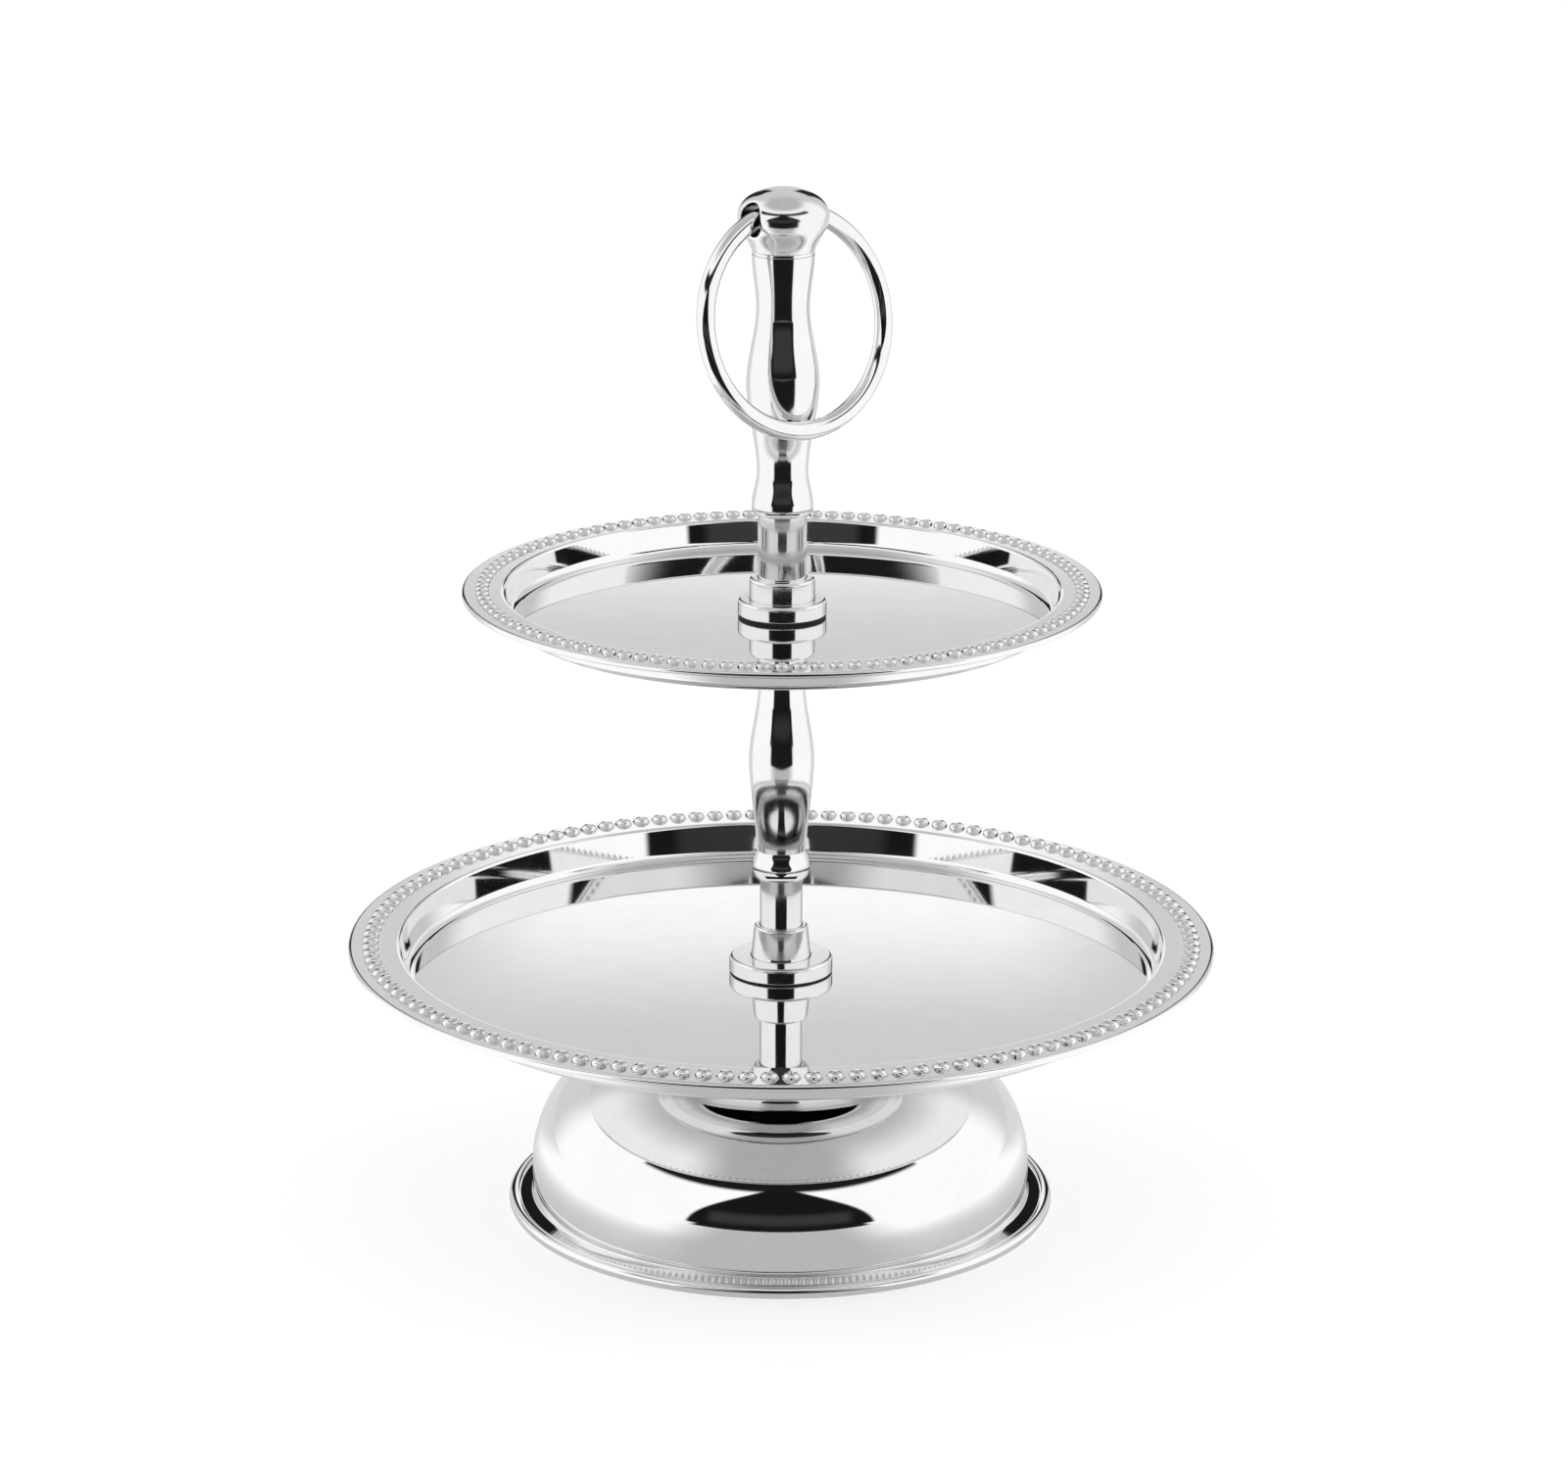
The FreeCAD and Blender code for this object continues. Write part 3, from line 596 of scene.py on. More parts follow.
@dataclass
class Foot:
    """The spun bowl that the stand rests on."""

    columns: int = 288
    bore: float = 3.3
    sheet: float = 1.0
    bead_wire: float = 2.3
    bead_flat: float = 0.8
    wall_radius: float = 87.0
    flange_height: float = 5.0
    bead_meet: float = 40.5
    wall_cove: float = 0.8
    wall_top: float = 14.0
    shoulder: float = 43.0
    neck_radius: float = 18.0
    neck_straight: float = 1.2
    neck_edge: float = 0.4

    def profile(self) -> Profile:
        """Draws neck, trumpet, shoulder, wall, flange and bead, out along the top and back underneath.

        Returns:
            The closed profile; the trumpet's circle touches the neck line and the shoulder's circle.
        """
        height = top_of("foot_shell")
        shoulder_r = self.wall_radius - self.shoulder
        neck_z = height - self.neck_straight
        rise = neck_z - self.wall_top
        inset = self.neck_radius - shoulder_r
        trumpet = (inset ** 2 + rise ** 2 - self.shoulder ** 2) / (2 * (self.shoulder - inset))
        trumpet_r = self.neck_radius + trumpet
        meet = math.degrees(math.atan2(rise, trumpet_r - shoulder_r))
        bead_r = reach_of("foot_shell") - self.bead_wire
        bead_z = math.sqrt(self.bead_wire ** 2 - self.bead_flat ** 2)
        flat = math.degrees(math.atan2(bead_z, self.bead_flat))
        over = self.bead_meet
        meet_rise = self.bead_wire * math.sin(math.radians(over))
        end_z = bead_z + meet_rise
        under = math.degrees(math.asin((meet_rise - self.sheet) / self.bead_wire))
        over_r = bead_r - self.bead_wire * math.cos(math.radians(over))
        wall, neck, t = self.wall_radius, self.neck_radius, self.sheet

        path = Profile(self.bore, height)
        path.corners([(neck, height, self.neck_edge), (neck, neck_z, 0)])
        path.arc((trumpet_r, neck_z), trumpet, 180.0, 180.0 + meet, steps=40)
        path.arc((shoulder_r, self.wall_top), self.shoulder, meet, 0.0, steps=56)
        path.corners([(wall, self.flange_height, self.wall_cove), (over_r, end_z, 0)])
        path.arc((bead_r, bead_z), self.bead_wire, 180.0 - over, -flat, steps=24)
        path.line(bead_r - self.bead_flat, 0.0)
        path.arc((bead_r, bead_z), self.bead_wire, 180.0 + flat, 180.0 - under, steps=8)
        path.corners([(wall - t, self.flange_height - t, self.wall_cove), (wall - t, self.wall_top, 0)])
        path.arc((shoulder_r, self.wall_top), self.shoulder - t, 0.0, meet, steps=40)
        path.arc((trumpet_r, neck_z), trumpet + t, 180.0 + meet, 180.0, steps=24)
        path.line(neck - t, height - t).line(self.bore, height - t).line(self.bore, height)
        return path

    def make(self, material: bpy.types.Material) -> None:
        """Builds and dresses the foot."""
        dress(turned("foot_bowl", self.profile(), self.columns), material, "foot_shell")


@dataclass
class BeadedTray:
    """A tray: sunk well, flat rim with a ring of embossed beads, and a rolled edge.

    bead_margin is the flat left on each side of the beads, floor_share the share of the well that is left as
    one plain ring of floor, and slope_step the distance over which a bead's slope is measured.
    """

    node: str
    name: str
    rim_width: float
    well_depth: float
    wall_lean: float
    edge_wire: float
    bead_inset: float
    bead_count: int
    bead_width: float
    bead_rise: float
    sheet: float = 0.8
    bore: float = 3.3
    well_corner: float = 3.5
    well_edge: float = 1.3
    columns_per_bead: int = 2
    fine_per_bead: int = 14
    rows: tuple[float, ...] = (-1.0, -0.96, -0.88, -0.75, -0.5, -0.18, 0.18, 0.5, 0.75, 0.88, 0.96, 1.0)
    fullness: float = 0.5
    bead_margin: float = 0.35
    floor_share: float = 0.6
    slope_step: float = 0.01

    def lift(self, radius: np.ndarray, angle: np.ndarray, circle: float) -> np.ndarray:
        """Height of the embossing above the rim.

        With s the distance from the nearest bead's centre over half its width, the height is the bead's
        rise times (1 - s^2)^fullness inside the bead, and 0 outside.

        Args:
            radius: distance from the axis.
            angle: angle about the axis, in radians.
            circle: radius of the circle that the beads' centres stand on.

        Returns:
            The height at each point.
        """
        pitch = 2 * np.pi / self.bead_count
        off = (angle + pitch / 2) % pitch - pitch / 2
        square = ((radius - circle) ** 2 + (circle * off) ** 2) / (self.bead_width / 2) ** 2
        return self.bead_rise * np.clip(1 - square, 0, None) ** self.fullness

    def band(self, lathe: Lathe, rim: float, circle: float, underside: bool) -> tuple[np.ndarray, np.ndarray]:
        """Adds the strip that holds the beads: a fine grid of radius and angle lifted by the embossing.

        Args:
            lathe: takes the rings.
            rim: height of the flat rim on this side of the sheet.
            circle: radius of the beads' circle.
            underside: true for the hollows under the beads.

        Returns:
            The first and the last ring in the direction of travel.
        """
        count = self.bead_count * self.fine_per_bead
        angle = 2 * np.pi * np.arange(count) / count
        step = self.slope_step
        travel = self.rows[::-1] if underside else self.rows
        side = -1.0 if underside else 1.0
        rings, normals = [], []
        for row in travel:
            radius = circle + row * self.bead_width / 2
            there = np.full(count, radius)
            height = self.lift(there, angle, circle)
            slope_out = self.lift(there + step, angle, circle) - self.lift(there - step, angle, circle)
            turn = step / radius
            slope_round = self.lift(there, angle + turn, circle) - self.lift(there, angle - turn, circle)
            normal = np.stack([-slope_out, -slope_round, np.full(count, 2 * step)], axis=1) * side
            normals.append(normal / np.linalg.norm(normal, axis=1, keepdims=True))
            rings.append(lathe.ring(there, rim + height, count))
        for index in range(len(rings) - 1):
            lathe.strip(rings[index], rings[index + 1], normals[index], normals[index + 1])
        return rings[0], rings[-1]

    def make(self, material: bpy.types.Material) -> None:
        """Builds and dresses the tray.

        The well, the wall and the rolled edge are one coarse profile; the beads are a finer band between two
        flat stretches of the rim, above and below.

        Args:
            material: the finish.
        """
        base = base_of(self.node)
        radius = reach_of(self.node)
        t = self.sheet
        floor = base + t
        rim = floor + self.well_depth
        well = radius - self.rim_width
        circle = radius - self.bead_inset
        inside, outside = circle - self.bead_width / 2, circle + self.bead_width / 2
        margin, floor_ring = self.bead_margin, self.floor_share * well
        columns = self.bead_count * self.columns_per_bead
        edge_r, edge_z = radius - self.edge_wire, rim - self.edge_wire
        slope = math.hypot(self.wall_lean, self.well_depth) / self.well_depth
        shift = t * slope - self.wall_lean * t / self.well_depth
        tuck = math.degrees(math.asin((self.edge_wire - t) / self.edge_wire))

        up = np.array([0.0, 1.0])
        lathe = Lathe()
        above = Profile(self.bore, floor)
        above.line(floor_ring, floor)
        above.corners([(well - self.wall_lean, floor, self.well_corner), (well, rim, self.well_edge),
                       (inside - margin, rim, 0)], steps=10)
        bore_ring, before_band = lathe.follow(above, columns)
        first, last = self.band(lathe, rim, circle, False)
        lathe.strip(before_band, first, up, up)

        edge = Profile(outside + margin, rim)
        edge.line(edge_r, rim)
        edge.arc((edge_r, edge_z), self.edge_wire, 90.0, -180.0 - tuck, steps=28)
        edge.line(outside + margin, rim - t)
        after_band, before_under = lathe.follow(edge, columns)
        lathe.strip(last, after_band, up, up)
        first, last = self.band(lathe, rim - t, circle, True)
        lathe.strip(before_under, first, -up, -up)

        below = Profile(inside - margin, rim - t)
        below.corners([(well + shift, rim - t, self.well_edge / 2),
                       (well - self.wall_lean + shift, base, self.well_corner + t),
                       (floor_ring, base, 0)], steps=10)
        below.line(self.bore, base)
        after_under, bore_under = lathe.follow(below, columns)
        lathe.strip(last, after_under, -up, -up)
        lathe.follow(Profile(self.bore, base).line(self.bore, floor), columns, bore_under, bore_ring)
        dress(lathe.piece(self.name), material, self.node)


@dataclass
class Column:
    """The turned pieces of one column, from its flange up to its baluster."""

    tier: str
    flange_edge: float
    recess_radius: float
    recess_depth: float
    cup_foot: float
    cup_top: float
    cup_lip: float
    cup_floor: float
    neck_radius: float
    waves: tuple[tuple[float, float], ...]
    cup_node: str
    pocket: bool
    columns: int = 128
    bore: float = 3.3
    seat_gap: float = 0.15
    neck_wall: float = 1.5
    neck_insert: float = 4.0
    neck_ease: float = 0.25
    foot_inset: float = 1.6
    baluster_bore: float = 5.9
    web: float = 4.0
    pocket_radius: float = 6.1735
    seat_edge: float = 0.25
    cup_edge: float = 0.3

    def flange(self, material: bpy.types.Material) -> None:
        """Builds the disc: a rounded top edge, and a recess for the cup.

        Args:
            material: the finish.
        """
        node = f"{self.tier}_flange"
        base, top, radius = base_of(node), top_of(node), reach_of(node)
        seat = self.recess_radius + self.seat_gap
        path = Profile(self.bore, top - self.recess_depth)
        path.line(seat, top - self.recess_depth)
        path.corners([(seat, top, self.seat_edge), (radius, top, self.flange_edge),
                      (radius, base, self.flange_edge / 4), (self.bore, base, 0)], steps=10)
        path.line(self.bore, top - self.recess_depth)
        dress(turned(f"{node}_disc", path, self.columns), material, node)

    def cup(self, material: bpy.types.Material) -> None:
        """Builds the cup that holds the neck: a tapered side and a rolled lip.

        Args:
            material: the finish.
        """
        base, top = base_of(self.cup_node), top_of(self.cup_node)
        inner = self.neck_radius + self.seat_gap
        path = Profile(self.bore, base + self.cup_floor)
        path.line(inner, base + self.cup_floor)
        path.corners([(inner, top, self.cup_edge), (self.cup_top, top, self.cup_lip),
                      (self.cup_foot, base, self.cup_edge), (self.bore, base, 0)], steps=10)
        path.line(self.bore, base + self.cup_floor)
        dress(turned(f"{self.cup_node}_cup", path, self.columns), material, self.cup_node)

    def neck(self, material: bpy.types.Material) -> None:
        """Builds the tube between the cup and the baluster.

        Args:
            material: the finish.
        """
        node = f"{self.tier}_neck"
        base, top, r = base_of(node), top_of(node), self.neck_radius
        path = Profile(r - self.neck_wall, top)
        path.corners([(r, top, self.neck_ease), (r, base, self.neck_ease), (r - self.neck_wall, base, 0)],
                     steps=3)
        path.line(r - self.neck_wall, top)
        dress(turned(f"{node}_tube", path, self.columns), material, node)

    def baluster(self, material: bpy.types.Material) -> None:
        """Builds the turned column: half waves between waists and swells, over a bore and a web.

        Args:
            material: the finish.
        """
        node = f"{self.tier}_baluster"
        base, top = base_of(node), top_of(node)
        socket = self.neck_radius + self.seat_gap
        lip_z, lip_r = self.waves[0]
        foot_r = lip_r - self.foot_inset
        web_top = base_of("coupling_nut") if self.pocket else top
        heights = self.waves[::-1]

        path = Profile(self.bore, web_top)
        if self.pocket:
            path.line(self.pocket_radius, web_top).line(self.pocket_radius, top)
        path.line(heights[0][1], top)
        for height, radius in heights[1:]:
            path.wave(radius, base + height, steps=28)
        path.bezier((lip_r, base + lip_z * (1 - QUARTER)), (foot_r + self.foot_inset * QUARTER, base),
                    (foot_r, base), steps=12)
        path.line(socket, base).line(socket, base + self.neck_insert)
        path.line(self.baluster_bore, base + self.neck_insert).line(self.baluster_bore, web_top - self.web)
        path.line(self.bore, web_top - self.web).line(self.bore, web_top)
        dress(turned(f"{node}_turning", path, self.columns), material, node)

    def make(self, material: bpy.types.Material) -> None:
        """Builds and dresses every piece of the column.

        Args:
            material: the finish.
        """
        self.flange(material)
        self.cup(material)
        self.neck(material)
        self.baluster(material)


@dataclass
class SupportDisc:
    """The disc under the upper tray, which hides the nut that joins the rods."""

    node: str = "support_disc"
    edge: float = 1.3
    bore: float = 6.1735
    columns: int = 128

    def make(self, material: bpy.types.Material) -> None:
        """Builds and dresses the disc.

        Args:
            material: the finish.
        """
        base, top, radius = base_of(self.node), top_of(self.node), reach_of(self.node)
        path = Profile(self.bore, top)
        path.corners([(radius, top, self.edge), (radius, base, self.edge), (self.bore, base, 0)], steps=10)
        path.line(self.bore, top)
        dress(turned("support_disc_turning", path, self.columns), material, self.node)


@dataclass
class Finial:
    """The thin band and the mushroom head, cross-drilled for the ring.

    cell is the size of the head's mesh and table_step that of its table of distances, cell_margin how many
    cells and table_margin how many millimetres each reaches past the head, and block how many table entries
    are worked out at once.
    """

    bore: float = 3.3
    thread_bore: float = 3.0
    thread_depth: float = 4.62
    band_edge: float = 0.3
    foot_radius: float = 10.7
    widest_radius: float = 15.5
    widest_height: float = 11.8
    head_height: float = 21.5
    foot_reach: tuple[float, float] = (1.55, 4.5)
    widest_reach: float = 4.2
    hole_radius: float = 5.5766
    hole_ease: float = 1.3
    cell: float = 0.42
    cell_margin: float = 1.7
    table_step: float = 0.08
    table_margin: float = 2.4
    block: int = 20000
    columns: int = 128

    def band(self, material: bpy.types.Material) -> None:
        """Builds the band between the baluster and the head, its edges eased so that both joints show.

        Args:
            material: the finish.
        """
        base, top, radius = base_of("finial_collar"), top_of("finial_collar"), reach_of("finial_collar")
        path = Profile(self.bore, top)
        path.corners([(radius, top, self.band_edge), (radius, base, self.band_edge), (self.bore, base, 0)],
                     steps=5)
        path.line(self.bore, top)
        dress(turned("finial_collar_band", path, self.columns), material, "finial_collar")

    def outline(self, base: float) -> np.ndarray:
        """Samples the head's closed outline, out along the foot, up the side and down the blind hole.

        The lower side is a cubic curve that leaves the foot outwards and reaches the widest circle upright,
        and the dome is a quarter of an ellipse.

        Args:
            base: height of the head's foot.

        Returns:
            One (radius, height) row per point, anticlockwise.
        """
        poles = np.array([
            (self.foot_radius, 0.0),
            (self.foot_radius + self.foot_reach[0], self.foot_reach[1]),
            (self.widest_radius, self.widest_height - self.widest_reach),
            (self.widest_radius, self.widest_height)])
        t = np.linspace(0.0, 1.0, 120, endpoint=False)[:, None]
        side = np.hstack([(1 - t) ** 3, 3 * t * (1 - t) ** 2, 3 * t * t * (1 - t), t ** 3]) @ poles
        angle = np.linspace(0.0, np.pi / 2, 200)
        dome = np.stack([
            self.widest_radius * np.cos(angle),
            self.widest_height + (self.head_height - self.widest_height) * np.sin(angle)], axis=1)
        dome[-1, 0] = 0.0
        inner = [(0.0, self.thread_depth), (self.thread_bore, self.thread_depth), (self.thread_bore, 0.0)]
        return np.concatenate([side, dome, np.array(inner)]) + np.array([0.0, base])

    def turned_table(self, outline: np.ndarray) -> tuple[np.ndarray, np.ndarray]:
        """Works out the signed distance to the turned outline on a grid of radius and height.

        Args:
            outline: the closed outline.

        Returns:
            The grid's first corner, and the distances, table_step apart.
        """
        corner = outline.min(axis=0) - self.table_margin
        counts = np.ceil((outline.max(axis=0) + self.table_margin - corner) / self.table_step).astype(int) + 1
        place = corner + np.indices(counts).reshape(2, -1).T * self.table_step
        start, step = outline, np.roll(outline, -1, axis=0) - outline
        keep = np.linalg.norm(step, axis=1) > 1e-9
        start, step = start[keep], step[keep]
        distance = np.empty(len(place))
        for block in np.array_split(np.arange(len(place)), max(1, len(place) // self.block)):
            p = place[block][:, None, :]
            share = np.clip(((p - start) * step).sum(-1) / (step ** 2).sum(-1), 0, 1)
            gap = np.linalg.norm(p - start - share[..., None] * step, axis=-1).min(axis=1)
            r, z = np.abs(p[..., 0]), p[..., 1]
            end_z = start[:, 1] + step[:, 1]
            crosses = (start[:, 1] > z) != (end_z > z)
            rise = np.where(step[:, 1] == 0, 1.0, step[:, 1])
            beyond = r < start[:, 0] + (z - start[:, 1]) * step[:, 0] / rise
            inside = (crosses & beyond).sum(axis=1) % 2 == 1
            distance[block] = np.where(inside, -gap, gap)
        return corner, distance.reshape(counts)

    def depth(self, points: np.ndarray, corner: np.ndarray, distances: np.ndarray, hinge: float,
              along: np.ndarray) -> np.ndarray:
        """Signed distance to the drilled head's skin, below 0 inside the metal.

        It is the larger of two distances, to the turned outline and to the hole's wall, and within hole_ease
        of their meeting it is raised by the square of how near they are, which rounds the hole's mouths.

        Args:
            points: one row per point, in millimetres.
            corner: first corner of the table of distances to the turned outline.
            distances: that table, read by weighting its four nearest values.
            hinge: height of the hole's axis.
            along: unit vector along the hole.

        Returns:
            The distance at each point.
        """
        place = np.stack([np.hypot(points[:, 0], points[:, 1]), points[:, 2]], axis=1)
        cell = (place - corner) / self.table_step
        low = np.clip(cell.astype(int), 0, np.array(distances.shape) - 2)
        (i, j), (u, v) = low.T, (cell - low).T
        turned_distance = (
            (1 - u) * (1 - v) * distances[i, j] + u * (1 - v) * distances[i + 1, j]
            + (1 - u) * v * distances[i, j + 1] + u * v * distances[i + 1, j + 1])
        offset = points - np.array([0.0, 0.0, hinge])
        from_axis = np.linalg.norm(offset - (offset @ along)[:, None] * along, axis=1)
        hole_distance = self.hole_radius - from_axis
        near = np.clip(self.hole_ease - np.abs(turned_distance - hole_distance), 0, None)
        return np.maximum(turned_distance, hole_distance) + near ** 2 / (4 * self.hole_ease)

    def head(self, material: bpy.types.Material, hinge: float, along: np.ndarray) -> None:
        """Builds the head as the zero surface of its distance.

        The distance is worked out on a grid of cells; each cell that the surface crosses gets one vertex at
        the mean of its crossings, each grid edge that it crosses gets one quad, and the vertices are then
        moved along the gradient onto the surface. The gradient is also the exact normal.

        Args:
            material: the finish.
            hinge: height of the hole's axis.
            along: unit vector along the hole.
        """
        base, radius = base_of("finial_head"), reach_of("finial_head")
        corner, distances = self.turned_table(self.outline(base))

        def measure(points: np.ndarray) -> np.ndarray:
            """Distance to the skin."""
            return self.depth(points, corner, distances, hinge, along)

        margin = self.cell_margin * self.cell
        low = np.array([-radius, -radius, base]) - margin
        high = np.array([radius, radius, top_of("finial_head")]) + margin
        shape = np.ceil((high - low) / self.cell).astype(int) + 1
        index = np.indices(shape).reshape(3, -1).T
        value = measure(low + index * self.cell).reshape(shape)
        vertices, quads = cell_surface(value)
        points = low + vertices * self.cell
        for _ in range(4):
            points -= measure(points)[:, None] * gradient(measure, points)
        normals = gradient(measure, points)
        normals /= np.linalg.norm(normals, axis=1, keepdims=True)
        piece = shaded_piece("finial_head_drilled", points, [(quads, normals[quads])])
        dress(piece, material, "finial_head")


def gradient(measure: Callable[[np.ndarray], np.ndarray], points: np.ndarray,
             step: float = 0.08) -> np.ndarray:
    """Central differences of a function of position along X, Y and Z.

    Args:
        measure: the function, of one row per point.
        points: where it is measured.
        step: how far to each side.

    Returns:
        One gradient per point.
    """
    columns = []
    for axis in np.eye(3) * step:
        columns.append((measure(points + axis) - measure(points - axis)) / (2 * step))
    return np.stack(columns, axis=1)


def cell_surface(value: np.ndarray) -> tuple[np.ndarray, np.ndarray]:
    """Finds the surface where values on a grid change sign.

    Args:
        value: the values, below 0 inside.

    Returns:
        One vertex per crossed cell, in grid units, and the quads that join them, facing outwards.
    """
    inside = value < 0
    cells = np.array(value.shape) - 1
    total = np.zeros(tuple(cells) + (3,))
    hits = np.zeros(tuple(cells))
    crossings = []
    for axis in range(3):
        here = tuple(slice(0, -1) if a == axis else slice(None) for a in range(3))
        there = tuple(slice(1, None) if a == axis else slice(None) for a in range(3))
        spots = np.argwhere(inside[here] != inside[there])
        a, b = value[here][tuple(spots.T)], value[there][tuple(spots.T)]
        place = spots.astype(float)
        place[:, axis] += a / (a - b)
        crossings.append((axis, spots, a < 0))
        others = [k for k in range(3) if k != axis]
        for first in (0, 1):
            for second in (0, 1):
                cell = spots.copy()
                cell[:, others[0]] -= first
                cell[:, others[1]] -= second
                np.add.at(total, tuple(cell.T), place)
                np.add.at(hits, tuple(cell.T), 1)
    used = hits > 0
    number = np.full(tuple(cells), -1)
    number[used] = np.arange(used.sum())
    vertices = total[used] / hits[used][:, None]
    quads = []
    for axis, spots, leaving in crossings:
        others = [(axis + 1) % 3, (axis + 2) % 3]
        corners = []
        for first, second in ((0, 0), (1, 0), (1, 1), (0, 1)):
            cell = spots.copy()
            cell[:, others[0]] -= first
            cell[:, others[1]] -= second
            corners.append(number[tuple(cell.T)])
        quad = np.stack(corners, axis=1)
        quads.append(np.where(leaving[:, None], quad, quad[:, ::-1]))
    return vertices, np.concatenate(quads)


@dataclass
class CarryingRing:
    """The plain wire ring that hangs through the head."""

    wire: float = 3.15
    radius: float = 36.9
    along_columns: int = 288
    round_columns: int = 40

    def make(self, material: bpy.types.Material, hinge: float, axis: np.ndarray) -> None:
        """Builds and dresses the ring.

        A point is centre + (radius + wire cos b)(u cos a + v sin a) + wire sin b n, where u lies along the
        hinge, v points from the hinge to the ring's centre, and n is square to both.

        Args:
            material: the finish.
            hinge: height of the hinge line.
            axis: unit vector along the hinge.
        """
        low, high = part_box("carrying_ring")
        centre = np.array((low + high) / 2) / MM
        hang = centre - np.array([0.0, 0.0, hinge])
        v = hang / np.linalg.norm(hang)
        u = axis - (axis @ v) * v
        u /= np.linalg.norm(u)
        n = np.cross(u, v)
        a = 2 * np.pi * np.arange(self.along_columns)[:, None] / self.along_columns
        b = 2 * np.pi * np.arange(self.round_columns)[None, :] / self.round_columns
        spoke = np.cos(a)[..., None] * u + np.sin(a)[..., None] * v
        normal = np.cos(b)[..., None] * spoke + np.sin(b)[..., None] * n
        points = centre + self.radius * spoke + self.wire * normal
        number = np.arange(a.size * b.size).reshape(a.size, b.size)
        ahead, beside = np.roll(number, -1, axis=0), np.roll(number, -1, axis=1)
        both = np.roll(ahead, -1, axis=1)
        quads = np.stack([number, ahead, both, beside], axis=-1).reshape(-1, 4)
        normals = normal.reshape(-1, 3)
        piece = shaded_piece("carrying_ring_wire", points.reshape(-1, 3), [(quads, normals[quads])])
        dress(piece, material, "carrying_ring", RING)


# ---------------------------------------------------------------------------------------------------------
# Studio
# ---------------------------------------------------------------------------------------------------------

@dataclass(frozen=True)
class Patch:
    """A soft-edged area of the tent, alike on both sides: angles in degrees, azimuths from the front.

    With a crown, its half width shrinks with the square of the height above its lower edge, and is 0 at the
    crown.
    """

    light: float
    aside: float
    half_width: float
    low: float
    high: float
    soft: float
    crown: float | None = None


@dataclass(frozen=True)
class Zone:
    """A soft-edged part of a card: its light, and the middle, half width and softness of its window."""

    light: float
    middle: float
    half: float
    soft: float


